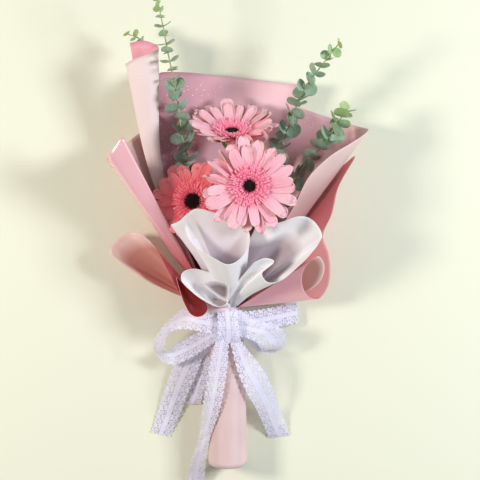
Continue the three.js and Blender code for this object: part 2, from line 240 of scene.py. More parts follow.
def share(tree, value, start, end, low=0.0, high=1.0):
    """low where the value is at its start, high where it is at its end, and straight between them."""
    return node(tree, "ShaderNodeMapRange", {
        "Value": value, "From Min": start, "From Max": end, "To Min": low, "To Max": high}).outputs[0]


def stored(tree, name):
    """The vector that store() gave each vertex, whole and as its three parts."""
    whole = node(tree, "ShaderNodeAttribute", attribute_name=name).outputs["Vector"]
    return whole, node(tree, "ShaderNodeSeparateXYZ", {0: whole}).outputs


def set_inputs(shader, **values):
    """Plain numbers for a shader's inputs, named with _ for each space."""
    for key, value in values.items():
        shader.inputs[key.replace("_", " ")].default_value = value


def rgb(r, g, b):
    """Linear colour from the 0 to 255 numbers of a paint chart."""
    linear = lambda c: float(((c / 255 + 0.055) / 1.055) ** 2.4 if c > 10 else c / 255 / 12.92)
    return linear(r), linear(g), linear(b), 1.0


def scaled(tree, scale):
    """Object coordinates times a scale, for patterns that sit still on the piece."""
    place = node(tree, "ShaderNodeTexCoord").outputs["Object"]
    return node(tree, "ShaderNodeMapping", {"Vector": place, "Scale": scale}).outputs[0]


# %% [markdown]
# Paper is never one flat tone. Large soft clouds change its colour a little, and very fine fibres catch the
# light. The group gives both: a mask for the clouds and a height for the fibres.

# %% Shared group for clouds and fibres
def make_mottle():
    """Two noises over the object's own coordinates, one coarse and one very fine."""
    group = bpy.data.node_groups.new("mottle_and_fibre", "ShaderNodeTree")
    for name, start in (("Cloud Scale", 18.0), ("Fibre Scale", 900.0)):
        group.interface.new_socket(name, in_out="INPUT", socket_type="NodeSocketFloat").default_value = start
    group.interface.new_socket("Clouds", in_out="OUTPUT", socket_type="NodeSocketFloat")
    group.interface.new_socket("Fibres", in_out="OUTPUT", socket_type="NodeSocketFloat")
    inside = group.nodes.new("NodeGroupInput")
    outside = group.nodes.new("NodeGroupOutput")
    place = node(group, "ShaderNodeTexCoord").outputs["Object"]
    clouds = node(group, "ShaderNodeTexNoise", {"Vector": place, "Scale": inside.outputs[0], "Detail": 3.0})
    fibres = node(group, "ShaderNodeTexNoise", {"Vector": place, "Scale": inside.outputs[1], "Detail": 2.0})
    group.links.new(clouds.outputs[0], outside.inputs[0])
    group.links.new(fibres.outputs[0], outside.inputs[1])
    return group


MOTTLE = make_mottle()


def mottle(tree, cloud_scale, fibre_scale):
    """The group in a material, at its own two scales (repeats to the metre)."""
    made = node(tree, "ShaderNodeGroup", node_tree=MOTTLE)
    made.inputs[0].default_value, made.inputs[1].default_value = cloud_scale, fibre_scale
    return made.outputs[0], made.outputs[1]


def bump(tree, height, distance, strength=1.0):
    """A normal from a height from 0 to 1, which stands for the distance in metres."""
    return node(tree, "ShaderNodeBump", {"Height": height, "Distance": distance, "Strength": strength}).outputs[0]


# %% [markdown]
# Florist's paper is a smooth sheet. Its colour carries a painted highlight, paler where the cut edge catches the
# light, and painted shade, deeper where the folds crowd together at the neck. The sheets differ in their two
# tones and in which of those changes they show.

# %% Paper materials
DROPS_PER_METRE, DROP_RADIUS, DROP_PATCHES_PER_METRE = 260.0, 0.17, 9.0
SATIN_COAT_ROUGHNESS, SATIN_COAT_IOR = 0.24, 1.8


def paper_material(name, light, deep, roughness, coat=0.0, spray=0.0, sheen=0.0, rim=None, far=None,
                   foot=None, pearl=0.0):
    """Two tones of one colour in soft clouds, a fibre bump, and for some faces a spray of tiny water drops.
    rim pales the last stretch before the cut edge as a painted highlight, far shifts the colour towards the
    sheet's far side, and foot deepens it as painted shade where the folds crowd together near the neck. Each
    is (colour, start, end) as shares of the sheet."""
    material, tree, shader = new_material(name)
    clouds, fibres = mottle(tree, 14.0, 1400.0)
    tone = ramp(tree, clouds, [(0.3, deep), (0.7, light)])
    if spray:
        place = scaled(tree, (1, 1, 1))
        cells = node(tree, "ShaderNodeTexVoronoi", {"Vector": place, "Scale": DROPS_PER_METRE})
        drop = maths(tree, "LESS_THAN", cells.outputs["Distance"], DROP_RADIUS)
        patch = node(tree, "ShaderNodeTexNoise", {
            "Vector": place, "Scale": DROP_PATCHES_PER_METRE, "Detail": 1.0}).outputs[0]
        drop = maths(tree, "MULTIPLY", drop, maths(tree, "GREATER_THAN", patch, 0.5))
        tone = mix(tree, maths(tree, "MULTIPLY", drop, spray), tone, rgb(252, 240, 240))
    if rim or far or foot:
        _, parts = stored(tree, "on_sheet")
    # far shifts the tone across the sheet; on the back paper it is painted shade.
    if far:
        tone = mix(tree, share(tree, parts[0], *far[1:]), tone, far[0])
    # Painted shade: foot darkens the sheet towards the neck.
    if foot:
        tone = mix(tree, share(tree, parts[1], *foot[1:], 1.0, 0.0), tone, foot[0])
    # Painted highlight: rim pales the sheet towards its cut edge, a little unevenly with the clouds.
    if rim:
        edge = maths(tree, "ADD", parts[1], maths(tree, "MULTIPLY", maths(tree, "SUBTRACT", clouds, 0.5), 0.12))
        tone = mix(tree, maths(tree, "MULTIPLY", share(tree, edge, *rim[1:]), 0.85), tone, rim[0])
    tree.links.new(tone, shader.inputs["Base Color"])
    rough = share(tree, clouds, 0.0, 1.0, roughness - 0.05, roughness + 0.08)
    tree.links.new(rough, shader.inputs["Roughness"])
    tree.links.new(bump(tree, fibres, 0.00006, 0.5), shader.inputs["Normal"])
    set_inputs(shader, Metallic=pearl, Coat_Weight=coat, Coat_Roughness=SATIN_COAT_ROUGHNESS,
               Coat_IOR=SATIN_COAT_IOR, Sheen_Weight=sheen)
    return material


PALE_OUT = paper_material("pale_pink_paper", rgb(242, 222, 220), rgb(232, 210, 210), 0.5)
# Painted shade: the fin's outer face deepens to a dark rose towards the neck (foot).
FIN_OUT = paper_material("pale_pink_paper_fin", rgb(242, 222, 220), rgb(232, 210, 210), 0.5,
                         foot=(rgb(168, 74, 80), 0.26, 0.42))
PALE_IN = paper_material("pale_pink_paper_inside", rgb(244, 172, 190), rgb(234, 156, 176), 0.5)
# Painted shade: the back paper keeps darker mauve tones on its left part and pales towards its far side, and it
# deepens to a dark rose near the neck (foot).
MAUVE = paper_material("mauve_pink_paper", rgb(210, 154, 168), rgb(196, 138, 154), 0.5, spray=0.7,
                       far=(rgb(250, 206, 216), 0.46, 0.74), foot=(rgb(132, 56, 70), 0.25, 0.55))
# Painted shade: the right paper deepens to a dark rose near the neck (foot).
BLUSH = paper_material("blush_paper", rgb(246, 202, 210), rgb(236, 182, 192), 0.5, spray=0.6,
                       foot=(rgb(128, 62, 72), 0.25, 0.55))
# Painted shade: the inside of the rolled left paper is a deep coral-red, shade painted in, paling to taupe
# towards its edge.
TAUPE = paper_material("taupe_paper_inside", rgb(190, 84, 92), rgb(160, 62, 70), 0.5,
                       rim=(rgb(232, 204, 198), 0.5, 0.8))
# Painted shade: the turned flap of the right paper is a browner copy of the pale paper, back to the pale tone
# towards its edge.
FLAP = paper_material("pale_paper_flap_painted_shade", rgb(206, 160, 156), rgb(190, 144, 142), 0.5,
                      rim=(rgb(244, 220, 217), 0.55, 1.05))
# Painted shade: the inside of the right roll's mouth is a brown copy of the rose paper, with a painted highlight
# along its edge.
HOLLOW = paper_material("rose_paper_hollow_painted_shade", rgb(200, 140, 132), rgb(184, 124, 116), 0.55,
                        rim=(rgb(250, 224, 216), 0.93, 1.0))
ROSE_OUT = paper_material("rose_satin_paper", rgb(255, 188, 200), rgb(251, 172, 186), 0.3, coat=1.0, pearl=0.12)
# Painted light: the roll's tones are paler than the rose satin paper's, and they deepen to coral towards the neck
# as painted shade (foot).
ROLL_OUT = paper_material("rose_satin_roll", rgb(255, 200, 210), rgb(255, 188, 200), 0.3, coat=1.0, pearl=0.12,
                          foot=(rgb(222, 100, 110), 0.2, 0.62))
CORAL = paper_material("coral_paper_turn", rgb(238, 128, 134), rgb(226, 110, 118), 0.5)
# Painted shade: the inside of the left scoop is a brownish copy of the rose paper, with a painted highlight along
# its rim.
ROSE_IN = paper_material("rose_paper_inside_painted_shade", rgb(214, 158, 148), rgb(200, 138, 130), 0.55,
                         rim=(rgb(252, 226, 220), 0.8, 0.93))
ROSE_DEEP = paper_material("rose_paper_shaded", rgb(250, 154, 160), rgb(238, 138, 144), 0.45,
                           far=(rgb(236, 162, 162), 0.2, 0.34))
WINE = paper_material("wine_red_paper", rgb(150, 22, 26), rgb(116, 12, 16), 0.45)
HANDLE_OUT = paper_material("handle_paper", rgb(230, 204, 204), rgb(218, 188, 190), 0.48)
TISSUE = paper_material("white_tissue", rgb(252, 251, 253), rgb(245, 243, 248), 0.62, sheen=0.1)
# Painted shade: the inner face of the tissue is a greyed lilac copy of the white tissue, darker again towards the
# neck (foot), with a painted highlight along its rim.
TISSUE_IN = paper_material("white_tissue_inside_painted_shade", rgb(232, 222, 229), rgb(216, 203, 212), 0.62,
                           foot=(rgb(146, 128, 138), 0.1, 0.5), rim=(rgb(250, 248, 251), 0.62, 0.98))
# Painted shade: the hollow of the tissue mouth is a dark grey-mauve, paling to white at its rim.
TISSUE_HOLLOW = paper_material("white_tissue_hollow_painted_shade", rgb(150, 134, 140), rgb(128, 112, 118), 0.62,
                               rim=(rgb(250, 247, 250), 0.5, 1.0))
# The shaded tissue also deepens towards the neck as painted shade (foot) and carries a painted highlight in a
# narrow bright band near its rim.
TISSUE_DEEP = paper_material("white_tissue_shaded", rgb(192, 178, 186), rgb(176, 161, 170), 0.62,
                             foot=(rgb(120, 100, 108), 0.1, 0.45), rim=(rgb(255, 254, 255), 0.74, 0.84))
print("paper materials ready")

# %% [markdown]
# ## Wrapping papers
# A florist gathers a square of paper round the stems and lets it spread like a fan, so every sheet is close to
# a cone with its point at the tie. One row of points follows the sheet's outer edge and says how the paper
# rolls and folds. A second row runs round the neck. The surface is spun between them, with shallow pleats that
# fade from the neck outwards. Both faces need their own colour, so the wall that Solidify gives each sheet
# takes a second material on its far face.

# %% Paper sheets
def fan(edge, across, along, waist=None, lift=0.0, pleats=9, ripple=0.5, seed=0, hug=0.0, folds=()):
    """Grid of a sheet: neck row, half-way row and edge row joined by a spline, plus pleats sin(pleats * u)
    that swell half way out and a slow ripple along the edge."""
    edge_points = np.array([p[:3] for p in edge], float)
    known = [k for k, p in enumerate(edge) if len(p) > 3]
    order = np.arange(len(edge))
    angle = np.interp(order, known, [edge[k][3] for k in known])
    layer = np.interp(order, known, [edge[k][4] for k in known])
    top = on_neck(layer, angle, NECK_TOP)
    middle = np.array(waist, float) if waist else (top + edge_points) / 2 + [hug, 0, lift]
    g = net([top, middle, edge_points], across, along)
    low = spline(on_neck(layer, angle, 2 - BAND_WIDTH), np.linspace(0, 1, across + 1))
    g = np.concatenate([low[None], (low + g[0])[None] / 2, g])
    u = np.linspace(0, 1, across + 1)[None, :]
    v = np.concatenate([[0, 0], np.linspace(0, 1, along + 1)])[:, None]
    shift = np.random.default_rng(seed).uniform(0, 6.28, 3)
    swell = ripple * (
        0.7 * np.sin(2 * np.pi * pleats * u + shift[0]) * np.sin(np.pi * np.clip(v * 1.6, 0, 1)) * 0.8
        + np.sin(2 * np.pi * 2.3 * u + shift[1] + 2.0 * v) * v**1.5
        + 0.5 * np.sin(2 * np.pi * 5.1 * u + shift[2]) * v**3
    )
    for at, width, depth in folds:
        swell = swell + depth * np.exp(-(((u - at) / width) ** 2)) * smoothstep(v * 1.4) * (1 - 0.35 * v)
    return g + grid_normals(g) * swell[..., None]


def sheet(name, node_name, slot, front, back, edge, across=110, along=44, thickness=0.35, inner=None, **shape):
    """A fan of paper with a wall of even thickness. front faces into the bunch, back faces out of it."""
    g = fan(edge, across, along, **shape)
    rows, columns = g.shape[:2]
    u = np.broadcast_to(np.linspace(0, 1, columns), (rows, columns))
    v = np.broadcast_to(np.linspace(0, 1, rows)[:, None], (rows, columns))
    faces = grid_faces(rows, columns)
    start, inner_material = inner or (2.0, front)
    turned_in = (u.ravel()[faces].mean(1) > start) * 2
    obj = piece(name, g, faces, [front, back, inner_material, inner_material], node_name,
                face_material=turned_in)
    store(obj, "on_sheet", np.stack([u, v, 0 * u], -1))
    thicken(obj, thickness, 1)


# %% [markdown]
# Six sheets of pink paper: one behind the flowers, one rolled up on each side, a tall folded fin on the left,
# and a scooped corner low on each side. Each list follows the sheet's outer edge from one side of the neck to
# the other. Its first and last points also carry their angle round the neck and their layer.

# %% Pink sheets
sheet("back_paper", "back_sheet", "pale_paper", MAUVE, PALE_OUT, [
    [-86, 188, 35.5, -128, 1], [-82, 214, 34], [-77, 236, 33], [-69, 246, 32], [-46, 248, 24], [-14, 246, 16],
    [18, 243, 12], [48, 239, 14], [70, 236, 20], [82, 234, 30, -228, 1]], seed=1, ripple=0.7)
sheet("right_paper", "right_sheet", "pale_paper", BLUSH, FLAP, [
    [36, 218, 1.5, 176, 2], [68, 215, 3], [93, 207, 9], [123, 196, 22], [141, 190, 40], [147, 186, 58],
    [130, 173, 72], [106, 157, 80], [86, 138, 82], [74, 115, 80], [63, 96, 74, 52, 2]], seed=2)
sheet("left_paper", "left_sheet", "rose_paper", ROLL_OUT, TAUPE, [
    [-10, 196, 1.5, -176, 2], [-42, 196, 4], [-67, 192, 14], [-84, 187, 28], [-98, 176, 42], [-114, 160, 60],
    [-117, 153, 74], [-119, 154, 86], [-116, 160, 96], [-109, 169, 101], [-103, 177, 102], [-100, 173, 94],
    [-98, 168, 86, -54, 2]], seed=3, across=150)
sheet("left_folded_paper", "left_fin", "pale_paper", PALE_IN, FIN_OUT, [
    [-98, 277, 42, -92, 1], [-84, 279, 46], [-72, 275, 51], [-68, 270, 57], [-78, 264, 64], [-92, 259, 62],
    [-102, 254, 58, -58, 1]], waist=[
    [-73, 137, 38], [-69, 138, 37], [-65, 139, 37], [-63, 139, 39], [-66, 138, 42], [-71, 137, 43],
    [-75, 136, 43]],
    seed=4, ripple=0.3)
sheet("left_scoop_paper", "left_flare", "rose_paper", ROSE_IN, ROSE_OUT, [
    [-43, 14, 22, -122, 3], [-79, 30, 33], [-108, 50, 37], [-119, 63, 31], [-113, 73, 22], [-100, 81, 18],
    [-88, 80, 26], [-78, 73, 42], [-68, 60, 54], [-57, 38, 58, -76, 3], [-47, 20, 58], [-37, 6, 56],
    [-26, 3.5, 52, -54, 3]], seed=5, inner=(0.6, CORAL))
sheet("right_scoop_paper", "right_flare", "rose_paper", ROSE_DEEP, ROSE_OUT, [
    [112, 142, 30, 108, 3], [123, 152, 38], [134, 160, 48], [117, 128, 58], [110, 100, 60], [101, 78, 56],
    [107, 60, 46], [109, 42, 38], [107, 26, 32, 78, 3], [99, 14, 32], [88, 14, 40], [80, 26, 54], [80, 40, 62],
    [88, 53, 66, 50, 3], [96, 57, 62], [102, 49, 55], [102, 39, 48], [97, 29, 44],
    [88, 22, 43, 60, 2.6]], seed=6, across=180, inner=(0.765, HOLLOW))


# %% [markdown]
# Three small turned corners show near the tie: a lip of the left scoop that curls over, its turned face a dark
# wine red, a pale collar under the tissue, and the mouth where the small tissue curl turns in on itself, its
# hollow painted dark as shade. Each is a shallow dish between a rim line and a sunken middle.

# %% Turned corners
def dish(name, materials, rim, middle, bulge, thickness=0.35):
    """Rings from a sunken middle point out to a closed rim; bulge sets how soon they rise."""
    loop = spline(np.array([*rim, rim[0]], float), np.linspace(0, 1, 73))[:-1]
    t = np.linspace(0.02, 1, 14)[:, None, None]
    centre = np.array(middle, float)
    g = centre + (loop[None] - centre) * t
    g[..., 2] = centre[2] + (loop[None, :, 2] - centre[2]) * t[..., 0] ** bulge
    obj = piece(name, g, grid_faces(14, 72, closed=True), materials, None)
    store(obj, "on_sheet", np.broadcast_to(t, (14, 72, 1)) * [0.0, 1.0, 0.0])
    thicken(obj, thickness, 1)


dish("left_scoop_lip", [ROSE_OUT, WINE], [
    [-50, 37, 60], [-46, 22, 62], [-41, 8, 63], [-34, -3, 62], [-25, -5, 60], [-18, 1, 58], [-19, 8, 57],
    [-27, 17, 58], [-38, 25, 60]], [-31, 9, 56], 2.6)
dish("pale_collar", [PALE_OUT, PALE_OUT], [
    [-24, 10, 42], [-14, 11, 44], [-2, 11, 45], [6, 6, 44], [4, -3, 42], [-8, -4, 43], [-17, -2, 43],
    [-24, 2, 41]], [-9, 3, 46], 1.6)
# Its inside takes the hollow tissue colour: painted shade, pale towards the rim.
dish("tissue_curl_mouth", [TISSUE, TISSUE_HOLLOW], [
    [-24, 30, 67], [-17, 23, 67], [-9, 17, 67], [-3, 13, 67], [2, 12, 69], [4.5, 20, 72], [3.5, 27.5, 74],
    [-5, 31, 73], [-14, 32, 70]], [-2, 21, 67.5], 2.0)

# %% [markdown]
# Three soft sheets of tissue stand in front of the stems. They rise higher than the papers and curl at the
# edge. Their inner faces are shaded and their rims are bright, partly by the lamps and partly by painted shade
# and a painted highlight in the colours of their inner faces.

# %% White tissue
sheet("left_tissue", "white_left", "white_tissue", TISSUE_IN, TISSUE, [
    [-55, 89, 70, -46, 0], [-46, 93, 75], [-38, 100, 82], [-29, 105, 87], [-16, 103, 90], [0, 98, 90],
    [16, 92, 88, 14, 0], [25, 82, 88], [25, 69, 92], [16, 55, 96], [4, 49, 98], [-12, 56, 98], [-27, 65, 97],
    [-37, 76, 95], [-40, 87, 92], [-37, 93, 88, -38, 1]], lift=7, seed=7, ripple=0.3, hug=7, across=150)
sheet("right_tissue", "white_right", "white_tissue", TISSUE_DEEP, TISSUE, [
    [32, 88, 76, 14, 0], [54, 91, 83], [76, 96, 88], [93, 88, 90], [100, 76, 90, 44, 0], [88, 60, 88],
    [74, 46, 86], [58, 33, 80, 44, 1], [44, 31, 85], [38, 40, 91], [50, 52, 95], [42, 55, 98],
    [30, 51, 99, 14, 1]],
    lift=4, seed=8, ripple=0.3, hug=-6, across=150, folds=((0.2, 0.05, -12.0), (0.33, 0.04, 6.0)))
sheet("small_tissue_curl", "white_curl", "white_tissue", TISSUE_IN, TISSUE, [
    [-8, 38, 58, -22, 2], [-20, 42, 60], [-34, 44, 62], [-43, 40, 64], [-44, 32, 66], [-34, 21, 68],
    [-20, 11, 70], [-7, 6, 70], [2, 9, 68, 10, 2], [4, 18, 66], [-2, 27, 63, 0, 1.6]], seed=9, ripple=0.3)

# %% [markdown]
# ## The handle
# Below the tie the papers are rolled into a tube round the stems. It is a lathe shape whose radius follows a
# short profile, with shallow pleats where the lace squeezes it. The lower end is open, so a cut edge with a
# real thickness shows the hollow inside.

# %% Handle
handle_low, handle_high = (np.array(c) * 1000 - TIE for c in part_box("handle"))
HANDLE_X = (handle_low[0] + handle_high[0]) / 2
HANDLE_RADIUS = (handle_high[0] - handle_low[0]) / 2
profile = np.array([
    [BAND_OUTER - 2.9, handle_high[1] + 3, 0], [BAND_OUTER - 2.7, handle_high[1] - 6, 0],
    [BAND_OUTER - 0.8, handle_high[1] - 30, 0], [HANDLE_RADIUS - 1, handle_high[1] - 70, 0],
    [HANDLE_RADIUS - 0.2, handle_low[1], 0]], float)
down = np.linspace(0, 1, 61)[:, None]
outline = spline(profile, down.ravel())
turn = np.linspace(0, 2 * np.pi, 97)[:-1]
PLEAT_REACH, MOUTH_DIP = 28, 13
waves = 0.5 * np.sin(11 * turn) + 0.35 * np.sin(17 * turn + 1)
pleat = np.exp(-(handle_high[1] + 3 - outline[:, 1:2]) / PLEAT_REACH) * waves
soft = 0.25 * np.sin(3 * turn + 0.8) * down
radius = outline[:, :1] + pleat - 0.4 + soft
mouth = MOUTH_DIP * (0.5 + 0.5 * np.cos(turn)) ** 0.8 * down**3
handle_grid = np.stack([
    HANDLE_X + radius * np.sin(turn), outline[:, 1:2] - mouth, TIE_HEIGHT + radius * np.cos(turn)], -1)
handle = piece("paper_handle", handle_grid, grid_faces(61, 96, closed=True), [PALE_IN, HANDLE_OUT],
               "handle")
thicken(handle, 0.5, 1)
print("handle radius", round(float(HANDLE_RADIUS), 2))

# %% [markdown]
# ## Gerbera heads
# A gerbera is a daisy: rings of strap-shaped ray florets, a frill of short curled ones inside, and a dark disc
# in the middle. One ray is a small grid whose half width swells towards its tip and closes in a blunt, notched
# end, with grooves pressed along it. Every ray of a ring is made at once: the grid is computed for all of them
# in one array, each with its own length, lean and twist from a seeded generator.

# %% Bloom frame
def facing_matrix(direction):
    """Rotation that takes +Z to the bloom's axis the short way round."""
    a = np.array(direction, float) / np.linalg.norm(direction)
    v = np.cross([0, 0, 1], a)
    k = np.array([[0, -v[2], v[1]], [v[2], 0, -v[0]], [-v[1], v[0], 0]])
    return np.eye(3) + k + k @ k / (1 + a[2])


def rays(count, inner, outer, width, rise, cup, seed, turn=0.0, rows=18, columns=9, droop=0.0, curl=1.0,
         wild=0.25, rolled=None, spread=0.13):
    """Ray florets as one array (count, rows, columns, 3) in the bloom's frame. Radius grows along s, height
    is the cup's slope plus a bow, half width is a swelling closed by an ellipse, and every floret turns about
    its own length by a twist that grows towards its tip."""
    rng = np.random.default_rng(seed)
    s = np.linspace(0, 1, rows)[None, :, None]
    w = np.linspace(-1, 1, columns)[None, None, :]
    one = lambda low, high: rng.uniform(low, high, count)[:, None, None]
    length = (outer - inner) * one(0.88, 1.0)
    round_end = np.sqrt(np.clip(1 - (np.clip(s - 0.76, 0, 1) / 0.245) ** 2.4, 0.0, 1))
    swell = (0.40 + 0.60 * smoothstep(s / one(0.45, 0.62))) * round_end
    half = width / 2 * one(0.82, 1.1) * np.maximum(swell, 0.10)
    lobes = 0.5 + 0.5 * np.cos(one(2.2, 3.4) * np.pi * w + one(-0.8, 0.8))
    notch = 0.05 * lobes * smoothstep((s - 0.78) / 0.22)
    reach = length * (s - notch)
    bend = cup + one(-0.07, 0.07) + (one(-0.28, 0.16) - 0.1 * droop) * s**1.5 + one(0.05, 0.2) * np.sin(np.pi * s)
    step = np.diff(np.concatenate([np.zeros_like(reach[:, :1]), reach], axis=1), axis=1)
    out = inner + np.cumsum(np.cos(bend) * step, axis=1)
    height = rise + math.sin(cup) * inner + np.cumsum(np.sin(bend) * step, axis=1)
    twist = one(-wild, wild) * s + one(-0.18, 0.18)
    if rolled is not None:
        twist = twist + np.asarray(rolled, float)[:, None, None] * smoothstep(s / 0.8)
    hollow = curl * one(-0.5, 1.2) * (w**2 - 0.35) * width * 0.11 * (0.4 + s)
    groove = -0.035 * width * np.cos(3 * np.pi * w) * np.sin(np.pi * np.clip(s * 1.02, 0, 1)) ** 0.5
    side, lift = half * w, hollow + groove + 0.25 * np.sin(9 * s + one(0, 6)) * w
    across = side * np.cos(twist) - lift * np.sin(twist) + one(-2.2, 2.2) * s**2 * width / 12
    height = height + side * np.sin(twist) + lift * np.cos(twist)
    place = np.arange(count)[:, None, None] + rng.uniform(-spread, spread, count)[:, None, None]
    angle = turn + 2 * np.pi * place / count
    x = out * np.cos(angle) - across * np.sin(angle)
    y = out * np.sin(angle) + across * np.cos(angle)
    points = np.stack(np.broadcast_arrays(x, y, height), -1)
    marks = np.stack(np.broadcast_arrays(s, w * 0.5 + 0.5, rng.uniform(0, 1, count)[:, None, None]), -1)
    return points, marks


# %% [markdown]
# The rays are pale on their faces and warmer below, with deeper veins and a flush at the base. The material
# reads where it is on the ray from the stored vector: how far out, how far across, and a number of its own for
# each ray. The frills and the deep coral rays also carry a painted glow, a weak emission in their own colour
# that brightens them most where they lie in shade.

# %% Petal materials
def petal_material(name, stops, vein, edge, roughness=0.5, streaks=0.55, painted_glow_and_translucency=0.0):
    """Colour by distance along the floret, fine streaks along it, a flush of its own, a paler margin and any
    painted glow.
    """
    material, tree, shader = new_material(name)
    mark, parts = stored(tree, "on_petal")
    base = ramp(tree, parts[0], stops)
    stretched = node(tree, "ShaderNodeMapping", {"Vector": mark, "Scale": (2.5, 34, 60)}).outputs[0]
    fine = node(tree, "ShaderNodeTexNoise", {"Vector": stretched, "Scale": 1.0, "Detail": 3.0}).outputs[0]
    lines = maths(tree, "MULTIPLY_ADD", maths(tree, "SINE", maths(tree, "MULTIPLY", parts[1], 44.0)), 0.5, 0.5)
    streak = maths(tree, "MULTIPLY", share(tree, fine, 0.42, 0.68), streaks)
    tone = mix(tree, streak, base, vein)
    own = maths(tree, "MULTIPLY", maths(tree, "POWER", parts[2], 3.0), 0.3)
    tone = mix(tree, own, tone, vein)
    rim = maths(tree, "ABSOLUTE", maths(tree, "SUBTRACT", parts[1], 0.5))
    tone = mix(tree, maths(tree, "MULTIPLY", share(tree, rim, 0.36, 0.5), 0.25), tone, edge)
    tree.links.new(tone, shader.inputs["Base Color"])
    relief = maths(tree, "ADD", maths(tree, "MULTIPLY", lines, 0.6), fine)
    tree.links.new(bump(tree, relief, 0.0004, 0.6), shader.inputs["Normal"])
    set_inputs(shader, Roughness=roughness, Sheen_Weight=0.2, Subsurface_Weight=0.15 + 3 * painted_glow_and_translucency,
               Subsurface_Radius=(0.004, 0.0018, 0.0014))
    # Painted light: a weak emission in the petal's own colour brightens the florets, most of all where they lie
    # in shade.
    if painted_glow_and_translucency:
        tree.links.new(tone, shader.inputs["Emission Color"])
        set_inputs(shader, Emission_Strength=painted_glow_and_translucency)
    return material


PETAL_FACE = petal_material("petal_face", [
    (0.0, rgb(242, 92, 136)), (0.3, rgb(250, 150, 178)), (0.55, rgb(255, 200, 213)), (1.0, rgb(255, 212, 222))],
    rgb(246, 136, 164), rgb(255, 224, 230))
PETAL_BACK = petal_material("petal_back", [
    (0.0, rgb(238, 108, 112)), (0.5, rgb(250, 156, 150)), (1.0, rgb(254, 192, 188))], rgb(242, 122, 110),
    rgb(255, 208, 202))
# The deep coral rays and both frills carry a painted glow (emission).
DEEP_FACE = petal_material("deep_petal_face", [
    (0.0, rgb(232, 44, 78)), (0.35, rgb(248, 98, 118)), (0.7, rgb(253, 142, 152)), (1.0, rgb(255, 160, 164))],
    rgb(238, 76, 96), rgb(255, 176, 176), painted_glow_and_translucency=0.07)
FRILL = petal_material("frill_floret", [
    (0.0, rgb(246, 84, 136)), (0.4, rgb(252, 122, 162)), (0.75, rgb(255, 160, 188)), (1.0, rgb(255, 210, 220))],
    rgb(250, 104, 150), rgb(255, 176, 200), streaks=0.3, painted_glow_and_translucency=0.2)
DEEP_FRILL = petal_material("deep_frill_floret", [
    (0.0, rgb(236, 56, 86)), (0.45, rgb(250, 98, 122)), (0.8, rgb(254, 144, 156)), (1.0, rgb(255, 190, 194))],
    rgb(240, 74, 100), rgb(254, 156, 168), streaks=0.3, painted_glow_and_translucency=0.2)


def plain_material(name, light, deep, cloud_scale, fibre_scale, roughness, depth=0.0001):
    """Two tones in clouds with a fine bump, for stems, bracts and the dark disc."""
    material, tree, shader = new_material(name)
    clouds, fibres = mottle(tree, cloud_scale, fibre_scale)
    tree.links.new(ramp(tree, clouds, [(0.35, deep), (0.65, light)]), shader.inputs["Base Color"])
    tree.links.new(bump(tree, fibres, depth, 0.7), shader.inputs["Normal"])
    set_inputs(shader, Roughness=roughness)
    return material


STEM = plain_material("gerbera_stem", rgb(150, 172, 92), rgb(118, 146, 66), 60, 1500, 0.6)
BRACT = plain_material("calyx_bract", rgb(110, 132, 62), rgb(80, 104, 44), 220, 1800, 0.65)
EYE_DARK = plain_material("eye_dark", rgb(46, 14, 24), rgb(20, 6, 12), 500, 2500, 0.8)
EYE_TIP = plain_material("eye_pale_tips", rgb(240, 190, 190), rgb(214, 150, 150), 500, 2500, 0.7)
print("petal, stem and eye materials ready")

# %% [markdown]
# A stem or a twig is a tube swept along a smooth path, with its rings set square to the path.

# %% Tubes
def tube_frames(path):
    """Directions across a path: the vector furthest from the tangent is turned along with it."""
    tangent = np.gradient(path, axis=0)
    tangent /= np.linalg.norm(tangent, axis=1, keepdims=True)
    up = np.where(np.abs(tangent[:, 2:3]) > 0.9, [[1.0, 0, 0]], [[0, 0, 1.0]])
    side = np.cross(tangent, up)
    side /= np.linalg.norm(side, axis=1, keepdims=True)
    return tangent, side, np.cross(side, tangent)


def tube(path, radius, sides=14):
    """Closed tube round a path: rings of points, with the two end rings drawn in to a point."""
    tangent, side, up = tube_frames(path)
    a = np.linspace(0, 2 * np.pi, sides + 1)[:-1, None]
    r = np.broadcast_to(np.asarray(radius, float), len(path))[:, None, None]
    rings = path[:, None] + r * (np.cos(a) * side[:, None] + np.sin(a) * up[:, None])
    first = np.repeat(path[:1, None], sides, 1) + 0.02 * (rings[:1] - path[:1, None])
    last = np.repeat(path[-1:, None], sides, 1) + 0.02 * (rings[-1:] - path[-1:, None])
    return np.concatenate([first, rings, last])


# %% [markdown]
# One bloom is two rows of rays, four rings of short frill florets that stand up towards the middle, the eye,
# the green calyx below, and a stem that runs down into the bundle. Everything is made in the bloom's own frame
# and then turned to face its way.

# %% Make a bloom
CALYX_DEPTH, EYE_RADIUS, FRILL_RADIUS, STEM_RADIUS = 15.0, 6.5, 21.0, 3.0
STEM_END, SPRIG_END, SPRIG_GAP = -138, -120, 5.2
GOLDEN_ANGLE = math.radians(137.508)
STEM_RING = 2 * STEM_RADIUS / math.sqrt(3) + 0.6


def in_bundle(ring, degrees, end):
    """The straight stretch of a stem: ring times (sine, cosine) of its angle, from its lower end to the tie."""
    a = math.radians(degrees)
    return [[ring * math.sin(a), y, TIE_HEIGHT + ring * math.cos(a)] for y in (end, -60, -20, 4)]


